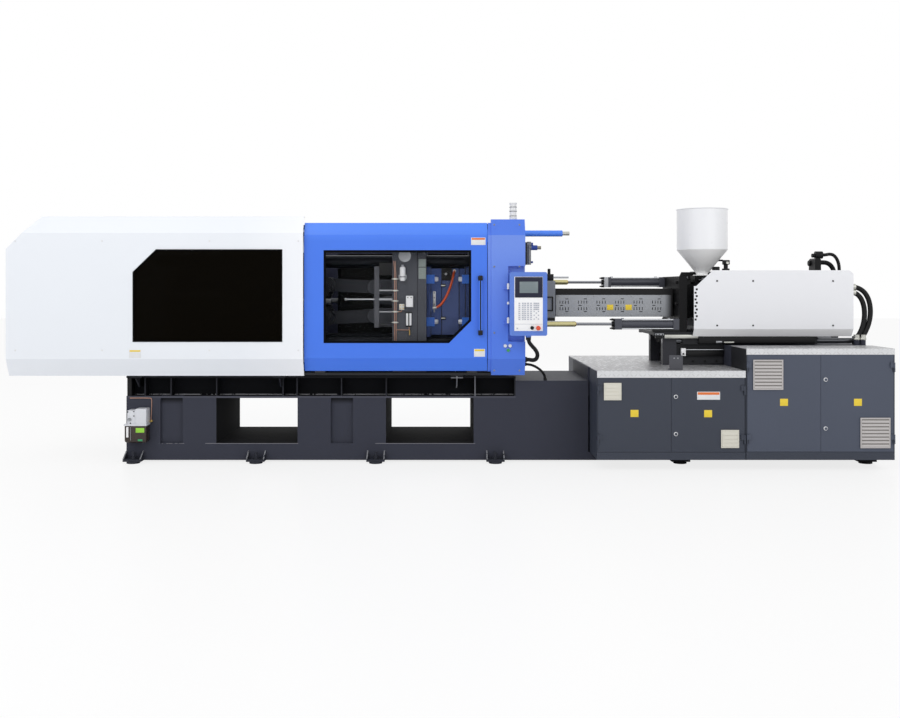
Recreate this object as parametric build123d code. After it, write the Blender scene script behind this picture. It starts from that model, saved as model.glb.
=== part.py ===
from build123d import *
import math
import os

# Injection moulding machine: a horizontal toggle clamp on the left, an injection unit on the right.
# X runs along the machine towards the injection unit, Y away from the operator, Z up.
# The origin is on the floor under the middle of the machine. Sizes are in millimetres.

# Running axis of the screw, the toggle and the mould
AXIS_Z = 1600.0
RUNNING_GAP = 0.3
SHEET = 4.0

# Clamp bed, a welded frame with two windows through it
BED_LEFT = -3178.0
BED_RIGHT = 1440.0
BED_HALF_WIDTH = 590.0
BED_BASE_Z = 20.0
BED_BLOCK_TOP = 640.0
BED_TOP = 860.0
BED_FLANGE = 20.0
BED_WEB_HALF_WIDTH = 470.0
BED_CHANNEL_RIGHT = 714.0
BED_END_TOP = 814.0
BED_SILL = 188.0
BED_WINDOWS = ((-2280.0, -1467.0), (-583.0, 294.0))
BED_RECESSES = ((-2839.0, -2615.0), (-1135.0, -912.0))
RECESS_DEPTH = 35.0
CHUTE_HALF_WIDTH = 330.0
RIB = 12.0
RIB_PLACES = (-2992.0, -2732.0, -2276.0, -1612.0, -1472.0, -1027.0, -580.0, 308.0, 708.0)
SLIDE_RAIL = (-2760.0, -100.0)
SLIDE_RAIL_Y = (430.0, 530.0)
SLIDE_RAIL_TOP = 880.0

# Injection bed, lower at the hopper end of the barrel and raised under the drive
STEP_X = 2876.0
INJECTION_BED_RIGHT = 4288.0
INJECTION_BED_HALF_WIDTH = 550.0
LOW_DECK = 951.0
HIGH_DECK = 1163.0
DECK_SHEET = 6.0
BEAM_RIGHT = 4068.0
BEAM_HEIGHT = 80.0

# Levelling feet
FOOT_PLACES = (-3092.0, -1872.0, -682.0, 508.0, 2343.0, 4188.0)
FOOT_PAD = 130.0
FOOT_TOP = 115.0
FOOT_WIDTH = 180.0
FOOT_REACH = 110.0

# Platens and tie bars
PLATEN_SIZE = 1200.0
TIE_BAR = 115.0
TIE_PITCH = 415.0
TIE_LEFT = -2900.0
TIE_RIGHT = 700.0
FIXED_PLATEN = (265.0, 625.0)
MOVING_PLATEN = (-519.0, -180.0)
TAIL_PLATEN = (-2218.0, -1838.0)
PLATEN_CHAMFER = 70.0
NUT_WIDTH = 62.0
NUT_SIZE = 190.0
NOZZLE_HOLE = 200.0
ROBOT_HOLE = 17.5
ROBOT_SPACING = (200.0, 500.0)
ROBOT_DEPTH = 45.0

# Toggle: equal links that fold outwards, at rest three degrees from straight
LINK = 500.0
LINK_REST = 3.0
LINK_HALF_WIDTH = 78.0
PIN_OFFSET = 150.0
PIN = 60.0
PIN_CLEARANCE = 0.05
TAIL_PIN_X = -1718.0
CROSS_ARM = 250.0
CROSS_PIN = 44.0
FRONT_LANE = (-118.0, 118.0)
REAR_LANE = (120.0, 180.0)
CROSS_LANE = (184.0, 224.0)
EAR_LANE = (226.0, 266.0)
CROSSHEAD_HEIGHT = 120.0
CROSSHEAD_HALF_WIDTH = 390.0
GUIDE_ROD = 60.0
GUIDE_ROD_Y = 330.0
GUIDE_ROD_REACH = 560.0
CLAMP_CYLINDER = 220.0
CLAMP_CYLINDER_LENGTH = 700.0
CLAMP_ROD = 90.0

# Die-height gears on the tail platen
NUT_TEETH = 26
RING_TEETH = 92
GEAR_WIDTH = 40.0

# Mould and ejector
MOULD_PARTING = 155.0
MOULD_HEIGHT = 720.0
MOULD_HALF_DEPTH = 350.0
MOULD_CLAMP_PLATE = 45.0
MOULD_SPACER = 110.0
EJECTOR_PACK = 50.0
EJECTOR_ROD = 60.0

# Room that the guards leave beside and above the platens
PLATEN_TOP = AXIS_Z + PLATEN_SIZE / 2
GUARD_ROOM = 200.0

# Clamp guard, folded sheet that stands clear of the sliding door
GUARD_LEFT = -4294.0
GUARD_RIGHT = -1383.0
GUARD_TOP = PLATEN_TOP + 247.0
GUARD_TOP_FOLD = GUARD_TOP - 168.0
GUARD_BOTTOM = BED_TOP + 14.0
GUARD_LOW_FOLD = GUARD_BOTTOM + 171.0
GUARD_Y = PLATEN_SIZE / 2 + GUARD_ROOM
GUARD_EDGE_Y = GUARD_Y - 80.0
GUARD_SLOPE = 325.0
GUARD_WINDOW = (-3047.0, -1590.0, 1216.0, 2115.0)
GUARD_WINDOW_CUT = (229.0, 222.0)
PANE = 6.0
PANE_LAP = 25.0

# Sliding safety door
DOOR = (-1379.0, 423.0)
DOOR_TOP = PLATEN_TOP + 184.0
DOOR_TOP_FOLD = DOOR_TOP - 120.0
DOOR_BOTTOM = BED_TOP + 61.0
DOOR_LOW_FOLD = DOOR_BOTTOM + 129.0
DOOR_Y = GUARD_Y - 40.0
DOOR_EDGE_Y = DOOR_Y - 56.0
DOOR_WINDOW = (-1176.0, 254.0, 1209.0, 2102.0)
DOOR_WINDOW_CUT = (219.0, 218.0)
HANDLE_X = 354.0
HANDLE_Z = (1278.0, 1862.0)
HANDLE_WIDTH = 40.0

# Guard frame: the rails that carry the door, their posts, and the braces across
RAIL_Y = (PLATEN_SIZE / 2 + 10.0, DOOR_EDGE_Y + 8.0)
LOW_RAIL_Z = (GUARD_BOTTOM + SHEET, GUARD_BOTTOM + 28.0)
TOP_RAIL_Y = (RAIL_Y[0], DOOR_EDGE_Y - 14.0)
TOP_RAIL_Z = (DOOR_TOP - 59.0, DOOR_TOP - 19.0)
BRACE_Z = (TOP_RAIL_Z[1] - 1.0, TOP_RAIL_Z[1] + 14.0)
POST = 40.0
POST_PLACES = (-4270.0, -3085.0, -1440.0)
BRACE_PLACES = (-3880.0, -3085.0, -1440.0, 430.0)
RAIL_SUPPORTS = (-3050.0, -1632.0, 125.0)

# Platen cover with the operator panel
COVER = (462.0, 795.0)
COVER_TOP = PLATEN_TOP + 219.0
COVER_TOP_FOLD = COVER_TOP - 160.0
COVER_BOTTOM = BED_TOP + 19.0
COVER_LOW_FOLD = COVER_BOTTOM + 166.0
COVER_Y = GUARD_Y - 20.0
COVER_EDGE_Y = COVER_Y - 80.0
COVER_NOTCH = (627.0, 1214.0, 1955.0)
NOTCH_DEPTH = 60.0
JAMB_LEFT = 428.0
JAMB_Z = (DOOR_BOTTOM - 6.0, DOOR_TOP)
JAMB_Y = COVER_Y - 10.0
JAMB = 8.0

# Operator panel
PANEL = (633.0, 995.0, 1278.0, 1895.0)
PANEL_Y = (-COVER_Y - 140.0, -COVER_Y - 40.0)
PANEL_PLATE = (674.0, 955.0, 1322.0, 1852.0)
PANEL_SCREEN = (729.0, 908.0, 1675.0, 1812.0)
PANEL_HINGE = (622.0, -COVER_Y - 18.0)
PANEL_HINGE_Z = (1420.0, 1760.0)
HINGE_PIN = 16.0
KNUCKLE = 40.0
STOP_BUTTON = (907.0, 1353.0, 44.0)
SELECTOR = (849.0, 1354.0, 30.0)
BUTTON = 30.0
BUTTON_PLACES = {"start_button": (597.0, 1173.0), "stop_button": (645.0, 1173.0), "reset_button": (627.0, 1130.0)}

# Signal tower and mechanical safety bar
TOWER = 75.0
TOWER_PLACE = (684.0, -COVER_Y + 130.0)
TOWER_HEIGHT = 167.0
SAFETY_BAR_Z = PLATEN_TOP + 117.0
SAFETY_BAR = 44.0
SAFETY_BAR_RIGHT = 1170.0
SAFETY_TUBE = 66.0
SAFETY_TUBE_RIGHT = 1224.0

# Cabinets under the injection unit
CABINET_FRONT = 1050.0
CABINET_BACK = 560.0
CABINET_BASE = 100.0
LOW_CABINET = (1456.0, 2872.0)
HIGH_CABINET = (2880.0, 4295.0)
LOW_SPLIT = 2164.0
HIGH_SPLIT = 3590.0
LOW_DOOR_Z = (176.0, 885.0)
HIGH_DOOR_Z = (179.0, 1105.0)
CABINET_SHEET = 6.0
CABINET_DOOR = 20.0
DOOR_GAP = 3.0
CABINET_HINGE = 12.0
CABINET_HINGE_OUT = 11.0
LATCH = 26.0
LOW_LIP = 66.0
HIGH_LIP = 58.0

# Injection carriage
RAIL_ROD = 56.0
RAIL_ROD_Y = 300.0
RAIL_ROD_Z = HIGH_DECK + 37.0
RAIL_ROD_X = (2262.0, 4279.0)
RAIL_SUPPORT = 84.0
CARRIAGE = (2400.0, 3860.0)
CARRIAGE_NOSE = 2140.0
CARRIAGE_HALF_WIDTH = 388.0
CARRIAGE_BOTTOM = RAIL_ROD_Z + 51.0
CARRIAGE_TOP = CARRIAGE_BOTTOM + 39.0
BEARING = 110.0
BARREL = 160.0
BARREL_BORE = 90.0
BARREL_X = (560.0, 2900.0)
NOZZLE_TIP = 265.3
HEATER_BAND = 210.0
BAND_WIDTH = 150.0
BAND_PITCH = 200.0
COVER_X = (1166.0, 2382.0)
COVER_HALF_WIDTH = 170.0
COVER_Z = (1440.0, 1734.0)
SLOT_GROUPS = (1251.0, 1444.0, 1636.0, 1830.0, 2023.0, 2215.0)
SLOT = (8.0, 32.0)
PURGE = (800.0, 1150.0)
PURGE_HALF_WIDTH = 250.0
PURGE_Z = (1433.0, 1814.0)
PURGE_BLOCK_TOP = 1939.0
PURGE_ROD = 22.0
PURGE_ROD_Z = 1853.0
PURGE_ROD_Y = 60.0
PURGE_ROD_RIGHT = 1312.0
FRONT_PLATE = (2400.0, 2480.0)
REAR_PLATE = (2820.0, 2900.0)
HOUSING_HALF_WIDTH = 380.0
HOUSING_TOP = 1860.0
FEED_X = 2733.0
FEED_HOLE = 80.0
PULL_CYLINDERS = ((330.0, 1802.0), (-330.0, 1370.0))
PULL_TUBE = 92.0
PULL_BORE = 74.0
PULL_ROD = 30.0
PULL_SLEEVE = 55.0
PULL_SLEEVE_RIGHT = 1345.0
PULL_FLANGE = (1743.0, 1815.0)
PULL_ROD_RIGHT = 2330.0
DRIVE_CYLINDER = 130.0
DRIVE_BORE = 84.0
DRIVE_ROD = 56.0
DRIVE_Y = 270.0
DRIVE_X = (2900.0, 3350.0)
DRIVE_PLATE = (3450.0, 3570.0)
MOTOR_RIGHT = 3810.0
MOTOR = 260.0
SCREW = 89.0

# Electric motor and hydraulic pump in the low cabinet
PUMP_MOTOR = 330.0
PUMP_MOTOR_LENGTH = 480.0
PUMP_MOTOR_FINS = 8
PUMP_BELL = (240.0, 140.0)
PUMP = (180.0, 240.0)

# Manifold behind the hydraulic motor, with its two hose loops in upright planes
MANIFOLD_RIGHT = MOTOR_RIGHT + 140.0
MANIFOLD_Z = (AXIS_Z - 60.0, AXIS_Z + 130.0)
MANIFOLD_POST = 64.0
MANIFOLD_TOP = 2052.0
HOSE_FITTINGS = (MOTOR_RIGHT + 90.0, MOTOR_RIGHT + 164.0)
LOOP_PORT_Z = AXIS_Z + 100.0
LOOPS = (
    (
        -80.0, 34.0, 78.0,
        (
            (3974.0, 2086.0), (4012.0, 2088.0), (4054.0, 2097.0), (4096.0, 2086.0), (4130.0, 2046.0),
            (4149.0, 1992.0), (4155.0, 1932.0), (4150.0, 1872.0), (4134.0, 1814.0), (4106.0, 1762.0),
            (4064.0, 1724.0), (4010.0, 1702.0), (3950.0, 1700.0),
        ),
    ),
    (
        22.0, 48.0, 76.0,
        (
            (3974.0, 2008.0), (4014.0, 2011.0), (4054.0, 2009.0), (4092.0, 1992.0), (4122.0, 1958.0),
            (4138.0, 1914.0), (4140.0, 1864.0), (4128.0, 1814.0), (4100.0, 1768.0), (4058.0, 1730.0),
            (4008.0, 1706.0), (3950.0, 1700.0),
        ),
    ),
)

# Shut-off valve on the fixed platen, beyond its cover
VALVE = 42.0
VALVE_X = FIXED_PLATEN[1] + 225.0
VALVE_Y = -PLATEN_SIZE / 2 + 40.0
VALVE_Z = (PLATEN_TOP - 227.0, PLATEN_TOP + 4.0)

# Injection guard
SHROUD = (2533.0, 4151.0)
SHROUD_Y = 450.0
SHROUD_EDGE_Y = 396.0
SHROUD_BOTTOM = 1247.0
SHROUD_FOLD = 1323.0
SHROUD_TOP = 1920.0

# Hopper
HOPPER = 524.0
HOPPER_TOP = 2574.0
HOPPER_SHOULDER = 2142.0
HOPPER_NECK = 110.0
HOPPER_WALL = 3.0
THROAT_Z = (1780.0, 1870.0)
GATE_Z = 1826.0
GATE_SHEET = 8.0

# Hoses of the injection drive, in one upright plane
HOSE = 50.0
HOSE_Y = -405.0
HOSE_ROUTES = (
    (
        (4110.0, 1752.0), (4180.0, 1752.0), (4246.0, 1728.0), (4296.0, 1680.0), (4328.0, 1612.0), (4342.0, 1532.0),
        (4340.0, 1448.0), (4322.0, 1366.0), (4290.0, 1292.0), (4264.0, 1250.0), (4264.0, 1215.0),
    ),
    (
        (4110.0, 1696.0), (4166.0, 1696.0), (4214.0, 1674.0), (4252.0, 1626.0), (4276.0, 1556.0), (4283.0, 1474.0),
        (4275.0, 1390.0), (4252.0, 1316.0), (4224.0, 1262.0), (4202.0, 1240.0), (4202.0, 1215.0),
    ),
)


# Simple solids

def block(x, y, z):
    """A block between two values on each axis."""
    size = [high - low for low, high in (x, y, z)]
    centre = [(high + low) / 2 for low, high in (x, y, z)]
    return Pos(*centre) * Box(*size)


def bar_x(x, y, z, diameter):
    """A round bar along X."""
    return Pos((x[0] + x[1]) / 2, y, z) * Rot(0, 90, 0) * Cylinder(diameter / 2, x[1] - x[0])


def bar_y(x, y, z, diameter):
    """A round bar along Y."""
    return Pos(x, (y[0] + y[1]) / 2, z) * Rot(90, 0, 0) * Cylinder(diameter / 2, y[1] - y[0])


def bar_z(x, y, z, diameter):
    """A round bar along Z."""
    return Pos(x, y, (z[0] + z[1]) / 2) * Cylinder(diameter / 2, z[1] - z[0])


def plate_xz(points, y):
    """A plate cut to an outline of (x, z) points, between two Y values."""
    face = make_face(Polyline(*points, close=True))
    return extrude(Plane.XZ.offset(-y[1]) * face, y[1] - y[0])


def plate_yz(points, x):
    """A plate cut to an outline of (y, z) points, between two X values."""
    face = make_face(Polyline(*points, close=True))
    return extrude(Plane.YZ.offset(x[0]) * face, x[1] - x[0])


def plate_xy(points, z):
    """A plate cut to an outline of (x, y) points, between two Z values."""
    face = make_face(Polyline(*points, close=True))
    return extrude(Plane.XY.offset(z[0]) * face, z[1] - z[0])


def sheet_outline(points, thickness):
    """The closed outline of a folded sheet: the given points, and the same line moved to its left."""
    moved = []
    for index, point in enumerate(points):
        before = points[max(index - 1, 0)]
        after = points[min(index + 1, len(points) - 1)]
        normals = []
        for start, end in ((before, point), (point, after)):
            run = math.hypot(end[0] - start[0], end[1] - start[1])
            if run > 0:
                normals.append(((start[1] - end[1]) / run, (end[0] - start[0]) / run))
        across = [sum(n[axis] for n in normals) / len(normals) for axis in (0, 1)]
        scale = thickness / (across[0] ** 2 + across[1] ** 2)
        moved.append((point[0] + across[0] * scale, point[1] + across[1] * scale))
    return list(points) + moved[::-1]


def joined(first, *others):
    """Several solids as one."""
    result = first
    for other in others:
        result = result + other
    return result


def group(solids):
    """Separate solids kept together in one node."""
    pieces = []
    for solid in solids:
        pieces.extend(solid.solids())
    return Compound(children=pieces)


def both_sides(solid):
    """A solid and its mirror image on the other side of the machine."""
    return [solid, mirror(solid, about=Plane.XZ)]


def cut_corner(window, cut, corner):
    """A window's outline with one corner cut off; corner is top_left or bottom_right."""
    left, right, bottom, top = window
    if corner == "top_left":
        return [(left, bottom), (right, bottom), (right, top), (left + cut[0], top), (left, top - cut[1])]
    return [(left, bottom), (right - cut[0], bottom), (right, bottom + cut[1]), (right, top), (left, top)]


# Beds and feet

def clamp_bed():
    side = (-BED_HALF_WIDTH, BED_HALF_WIDTH)
    bed = block((BED_LEFT, BED_RIGHT), side, (BED_BASE_Z, BED_BLOCK_TOP + BED_FLANGE))
    web = (-BED_WEB_HALF_WIDTH, BED_WEB_HALF_WIDTH)
    bed += block((BED_LEFT, BED_CHANNEL_RIGHT), web, (BED_BLOCK_TOP, BED_TOP))
    bed += block((BED_LEFT, BED_CHANNEL_RIGHT), side, (BED_TOP - BED_FLANGE, BED_TOP))
    bed += block((BED_CHANNEL_RIGHT, BED_RIGHT), side, (BED_BLOCK_TOP, BED_END_TOP))
    for place in RIB_PLACES:
        bed += block((place - RIB / 2, place + RIB / 2), side, (BED_BLOCK_TOP, BED_TOP - BED_FLANGE))
    for window in BED_WINDOWS:
        bed -= block(window, (-BED_HALF_WIDTH - 1, BED_HALF_WIDTH + 1), (BED_SILL, BED_BLOCK_TOP))
    chute = (-CHUTE_HALF_WIDTH, CHUTE_HALF_WIDTH)
    bed -= block(BED_WINDOWS[1], chute, (BED_BLOCK_TOP - 1, BED_TOP + 1))
    for recess in BED_RECESSES:
        for sign in (-1, 1):
            inner = sign * (BED_HALF_WIDTH - RECESS_DEPTH)
            outer = sign * (BED_HALF_WIDTH + 1)
            bed -= block(recess, sorted((inner, outer)), (BED_SILL, BED_BLOCK_TOP))
    for place in RAIL_SUPPORTS:
        bed += joined(*rail_support(place))
    rails = both_sides(block(SLIDE_RAIL, SLIDE_RAIL_Y, (BED_TOP, SLIDE_RAIL_TOP)))
    return group([bed] + rails)


def rail_support(place):
    """A bracket on each side of the bed that carries the lower door rail."""
    top = LOW_RAIL_Z[0] if place > GUARD_RIGHT else GUARD_BOTTOM
    arm = block((place - 60, place + 60), (BED_HALF_WIDTH - 60, RAIL_Y[1]), (BED_TOP - BED_FLANGE / 2, top))
    gusset = plate_yz(
        [
            (BED_HALF_WIDTH, BED_TOP - 110),
            (RAIL_Y[1], BED_TOP - BED_FLANGE / 2),
            (RAIL_Y[1], top),
            (BED_WEB_HALF_WIDTH, top),
            (BED_WEB_HALF_WIDTH, BED_TOP - 110),
        ],
        (place - RIB / 2, place + RIB / 2),
    )
    return both_sides(arm + gusset)


def injection_bed():
    side = (-INJECTION_BED_HALF_WIDTH, INJECTION_BED_HALF_WIDTH)
    outline = [
        (BED_RIGHT, CABINET_BASE),
        (INJECTION_BED_RIGHT, CABINET_BASE),
        (INJECTION_BED_RIGHT, HIGH_DECK - DECK_SHEET),
        (STEP_X, HIGH_DECK - DECK_SHEET),
        (STEP_X, LOW_DECK - DECK_SHEET),
        (BED_RIGHT, LOW_DECK - DECK_SHEET),
    ]
    bed = plate_xz(outline, side)
    for sign in (-1, 1):
        beam = sorted((sign * (BED_HALF_WIDTH - 120), sign * BED_HALF_WIDTH))
        bed += block((BED_RIGHT, BEAM_RIGHT), beam, (CABINET_BASE - BEAM_HEIGHT, CABINET_BASE))
    ends = (BED_RIGHT, INJECTION_BED_RIGHT)
    bed += block((BEAM_RIGHT - 1, ends[1]), (-BED_HALF_WIDTH + 120, BED_HALF_WIDTH - 120), (BED_BASE_Z, CABINET_BASE))
    for x, y, top in hose_sockets():
        bed += bar_z(x, y, (HIGH_DECK - DECK_SHEET, top), HOSE + 6)
    return bed


def levelling_feet():
    feet = []
    for place in FOOT_PLACES:
        face = BED_HALF_WIDTH
        top = FOOT_TOP if place < BED_RIGHT else CABINET_BASE - 2
        width = (place - FOOT_WIDTH / 2, place + FOOT_WIDTH / 2)
        base = block(width, (face, face + FOOT_REACH), (BED_BASE_Z, BED_BASE_Z + 22))
        cheek = plate_yz(
            [
                (face, BED_BASE_Z), (face + FOOT_REACH, BED_BASE_Z),
                (face + FOOT_REACH, BED_BASE_Z + 30), (face, top),
            ],
            (place - FOOT_WIDTH / 2, place - FOOT_WIDTH / 2 + RIB),
        )
        foot = base + cheek + Pos(FOOT_WIDTH - RIB, 0, 0) * cheek
        foot += bar_z(place, face + FOOT_REACH / 2, (0, BED_BASE_Z), FOOT_PAD)
        stem_top = top - 6 if place < BED_RIGHT else CABINET_BASE
        foot += bar_z(place, face + FOOT_REACH / 2, (BED_BASE_Z, stem_top), 30.0)
        foot += bar_z(place, face + FOOT_REACH / 2, (BED_BASE_Z + 22, BED_BASE_Z + 44), 50.0)
        feet.extend(both_sides(foot))
    return group(feet)


# Platens, tie bars and die height

def tie_places():
    return [(y * TIE_PITCH, AXIS_Z + z * TIE_PITCH) for y in (-1, 1) for z in (-1, 1)]


def platen(x, bore):
    """A platen blank with its tie-bar bores."""
    half = PLATEN_SIZE / 2
    cut = half - PLATEN_CHAMFER
    outline = [
        (-cut, AXIS_Z - half), (cut, AXIS_Z - half), (half, AXIS_Z - cut), (half, AXIS_Z + cut),
        (cut, AXIS_Z + half), (-cut, AXIS_Z + half), (-half, AXIS_Z + cut), (-half, AXIS_Z - cut),
    ]
    body = plate_yz(outline, x)
    for y, z in tie_places():
        body -= bar_x((x[0] - 1, x[1] + 1), y, z, bore)
    return body


def slide_shoes(x, bottom, rail):
    """The two feet of a platen, from its underside to the bed."""
    top = AXIS_Z - PLATEN_SIZE / 2 + 10
    return both_sides(block(x, rail, (bottom, top)))


def fixed_platen():
    body = platen(FIXED_PLATEN, TIE_BAR)
    body += joined(*slide_shoes(FIXED_PLATEN, BED_TOP, (SLIDE_RAIL_Y[0] - 60, SLIDE_RAIL_Y[1] + 40)))
    body -= bar_x((FIXED_PLATEN[0] - 1, FIXED_PLATEN[1] + 1), 0, AXIS_Z, NOZZLE_HOLE)
    recess = Pos(FIXED_PLATEN[1] - 60, 0, AXIS_Z) * Rot(0, 90, 0) * Cone(NOZZLE_HOLE / 2, 200.0, 121)
    body -= recess
    body -= robot_holes()
    return body


def robot_holes():
    """Four tapped holes in the top of the fixed platen for a take-out robot."""
    top = AXIS_Z + PLATEN_SIZE / 2
    x = (FIXED_PLATEN[0] + FIXED_PLATEN[1]) / 2
    holes = None
    for dx in (-0.5, 0.5):
        for dy in (-0.5, 0.5):
            hole = bar_z(x + dx * ROBOT_SPACING[0], dy * ROBOT_SPACING[1], (top - ROBOT_DEPTH, top + 1), ROBOT_HOLE)
            holes = hole if holes is None else holes + hole
    return holes


def tie_bars():
    """Four tie bars with the nuts that hold them in the fixed platen."""
    pieces = []
    for y, z in tie_places():
        pieces.append(bar_x((TIE_LEFT, TIE_RIGHT), y, z, TIE_BAR))
        nut = bar_x((FIXED_PLATEN[1], FIXED_PLATEN[1] + NUT_WIDTH), y, z, NUT_SIZE)
        pieces.append(nut - bar_x((FIXED_PLATEN[1] - 1, FIXED_PLATEN[1] + NUT_WIDTH + 1), y, z, TIE_BAR))
    return group(pieces)


def moving_platen():
    body = platen(MOVING_PLATEN, TIE_BAR + 2 * RUNNING_GAP)
    body += joined(*slide_shoes(MOVING_PLATEN, SLIDE_RAIL_TOP + RUNNING_GAP, SLIDE_RAIL_Y))
    rear = MOVING_PLATEN[0]
    pin_x = front_pin_x()
    for sign in (-1, 1):
        z = AXIS_Z + sign * PIN_OFFSET
        for lane in (REAR_LANE, (-REAR_LANE[1], -REAR_LANE[0])):
            body += lug(pin_x, rear, z, lane)
    for y in (-GUIDE_ROD_Y, GUIDE_ROD_Y):
        body -= bar_x((rear - 1, rear + 260), y, AXIS_Z, GUIDE_ROD * 1.5)
    body -= bar_x((rear - 1, MOVING_PLATEN[1] + 1), 0, AXIS_Z, EJECTOR_ROD + 4)
    pins = []
    for sign in (-1, 1):
        pins.append(bar_y(pin_x, (-REAR_LANE[1] - 2, REAR_LANE[1] + 2), AXIS_Z + sign * PIN_OFFSET, PIN))
    for pin in pins:
        body -= pin
    cylinder = bar_x((rear - 230, rear), 0, AXIS_Z, 116.0)
    cylinder -= bar_x((rear - 215, rear + 1), 0, AXIS_Z, EJECTOR_ROD + 14)
    return group([body, cylinder] + pins)


def lug(pin_x, root_x, z, lane):
    """An eye that carries a toggle pin, running back to the face that it stands on."""
    low, high = sorted((pin_x, root_x))
    web = block((low, high), lane, (z - LINK_HALF_WIDTH, z + LINK_HALF_WIDTH))
    return web + bar_y(pin_x, lane, z, 2 * LINK_HALF_WIDTH)


def tail_platen():
    body = platen(TAIL_PLATEN, TIE_BAR + 2 * RUNNING_GAP)
    body += joined(*slide_shoes(TAIL_PLATEN, SLIDE_RAIL_TOP + RUNNING_GAP, SLIDE_RAIL_Y))
    body -= bar_x((TAIL_PLATEN[0] - 1, TAIL_PLATEN[1] + 1), 0, AXIS_Z, CLAMP_ROD + 20)
    pins = []
    for sign in (-1, 1):
        z = AXIS_Z + sign * PIN_OFFSET
        body += lug(TAIL_PIN_X, TAIL_PLATEN[1], z, FRONT_LANE)
        pins.append(bar_y(TAIL_PIN_X, (-REAR_LANE[1] - 2, REAR_LANE[1] + 2), z, PIN))
    for pin in pins:
        body -= pin
    for y in (-GUIDE_ROD_Y, GUIDE_ROD_Y):
        body -= bar_x((TAIL_PLATEN[1] - 120, TAIL_PLATEN[1] + 1), y, AXIS_Z, GUIDE_ROD)
    return group([body] + pins)


def clamp_cylinder():
    """The clamp cylinder behind the tail platen, with the crosshead's guide rods."""
    face = TAIL_PLATEN[0]
    tube = bar_x((face - CLAMP_CYLINDER_LENGTH, face), 0, AXIS_Z, CLAMP_CYLINDER)
    tube += bar_x((face - 40, face), 0, AXIS_Z, CLAMP_CYLINDER + 80)
    tube += bar_x((face - CLAMP_CYLINDER_LENGTH, face - CLAMP_CYLINDER_LENGTH + 60), 0, AXIS_Z, CLAMP_CYLINDER + 30)
    tube -= bar_x((face - CLAMP_CYLINDER_LENGTH + 60, face + 1), 0, AXIS_Z, CLAMP_ROD + 40)
    rods = []
    for y in (-GUIDE_ROD_Y, GUIDE_ROD_Y):
        rods.append(bar_x((TAIL_PLATEN[1] - 120, TAIL_PIN_X + GUIDE_ROD_REACH), y, AXIS_Z, GUIDE_ROD))
    return group([tube] + rods)


def gear_blank(teeth, module, x, turn):
    """A spur gear with straight-sided teeth about X, turned so that a tooth points at an angle."""
    radius = teeth * module / 2
    points = []
    for tooth in range(teeth):
        middle = turn + 2 * math.pi * tooth / teeth
        step = 2 * math.pi / teeth
        for share, reach in ((-0.34, -1.2), (-0.12, 0.9), (0.12, 0.9), (0.34, -1.2)):
            angle = middle + share * step
            points.append(((radius + reach * module) * math.cos(angle), (radius + reach * module) * math.sin(angle)))
    return Pos(0, 0, AXIS_Z) * plate_yz(points, x)


def die_height_nuts():
    """The four geared nuts behind the tail platen and the ring gear that turns them together."""
    module = 2 * TIE_PITCH * math.sqrt(2) / (NUT_TEETH + RING_TEETH)
    face = TAIL_PLATEN[0]
    gear_x = (face - GEAR_WIDTH - 2, face - 2)
    ring = gear_blank(RING_TEETH, module, gear_x, 0.0)
    ring -= bar_x((gear_x[0] - 1, gear_x[1] + 1), 0, AXIS_Z, RING_TEETH * module - 110)
    pieces = [ring]
    for y, z in tie_places():
        towards = math.atan2(AXIS_Z - z, -y)
        gear = Pos(0, y, z - AXIS_Z) * gear_blank(NUT_TEETH, module, gear_x, towards)
        nut = gear + bar_x((face - 162, face - GEAR_WIDTH - 2), y, z, NUT_SIZE)
        nut += bar_x((face - 2, face), y, z, NUT_SIZE)
        pieces.append(nut - bar_x((face - 170, face + 1), y, z, TIE_BAR + 2 * RUNNING_GAP))
    for y, z in ((0, 1), (1, 0), (0, -1), (-1, 0)):
        reach = RING_TEETH * module / 2 - 55
        guide = bar_x((face - GEAR_WIDTH - 14, face), y * (reach - 15), AXIS_Z + z * (reach - 15), 29.4)
        pieces.append(guide)
    return group(pieces)


# Toggle

def rest_angle():
    return math.radians(LINK_REST)


def knee():
    """The middle pin of the upper toggle at rest."""
    return TAIL_PIN_X + LINK * math.cos(rest_angle()), PIN_OFFSET + LINK * math.sin(rest_angle())


def front_pin_x():
    return TAIL_PIN_X + 2 * LINK * math.cos(rest_angle())


def cross_pin():
    """The pin on the rear link that drives it."""
    return TAIL_PIN_X + CROSS_ARM * math.cos(rest_angle()), PIN_OFFSET + CROSS_ARM * math.sin(rest_angle())


def crosshead_x():
    return TAIL_PIN_X + 2 * CROSS_ARM * math.cos(rest_angle())


def link_plate(start, end, lane, half_width, holes):
    """A link between two pins, given as (x, height above the axis), with its bores."""
    run = math.hypot(end[0] - start[0], end[1] - start[1])
    turn = math.degrees(math.atan2(end[1] - start[1], end[0] - start[0]))
    middle = ((start[0] + end[0]) / 2, (lane[0] + lane[1]) / 2, AXIS_Z + (start[1] + end[1]) / 2)
    bar = Box(run, lane[1] - lane[0], 2 * half_width * 0.86)
    bar += Pos(-run / 2, 0, 0) * Rot(90, 0, 0) * Cylinder(half_width, lane[1] - lane[0])
    bar += Pos(run / 2, 0, 0) * Rot(90, 0, 0) * Cylinder(half_width, lane[1] - lane[0])
    for place, diameter in zip((-run / 2, run / 2), holes):
        bar -= Pos(place, 0, 0) * Rot(90, 0, 0) * Cylinder(diameter / 2, lane[1] - lane[0] + 2)
    return Pos(*middle) * Rot(0, -turn, 0) * bar


def mirrored_lanes(lane):
    return (lane, (-lane[1], -lane[0]))


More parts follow.
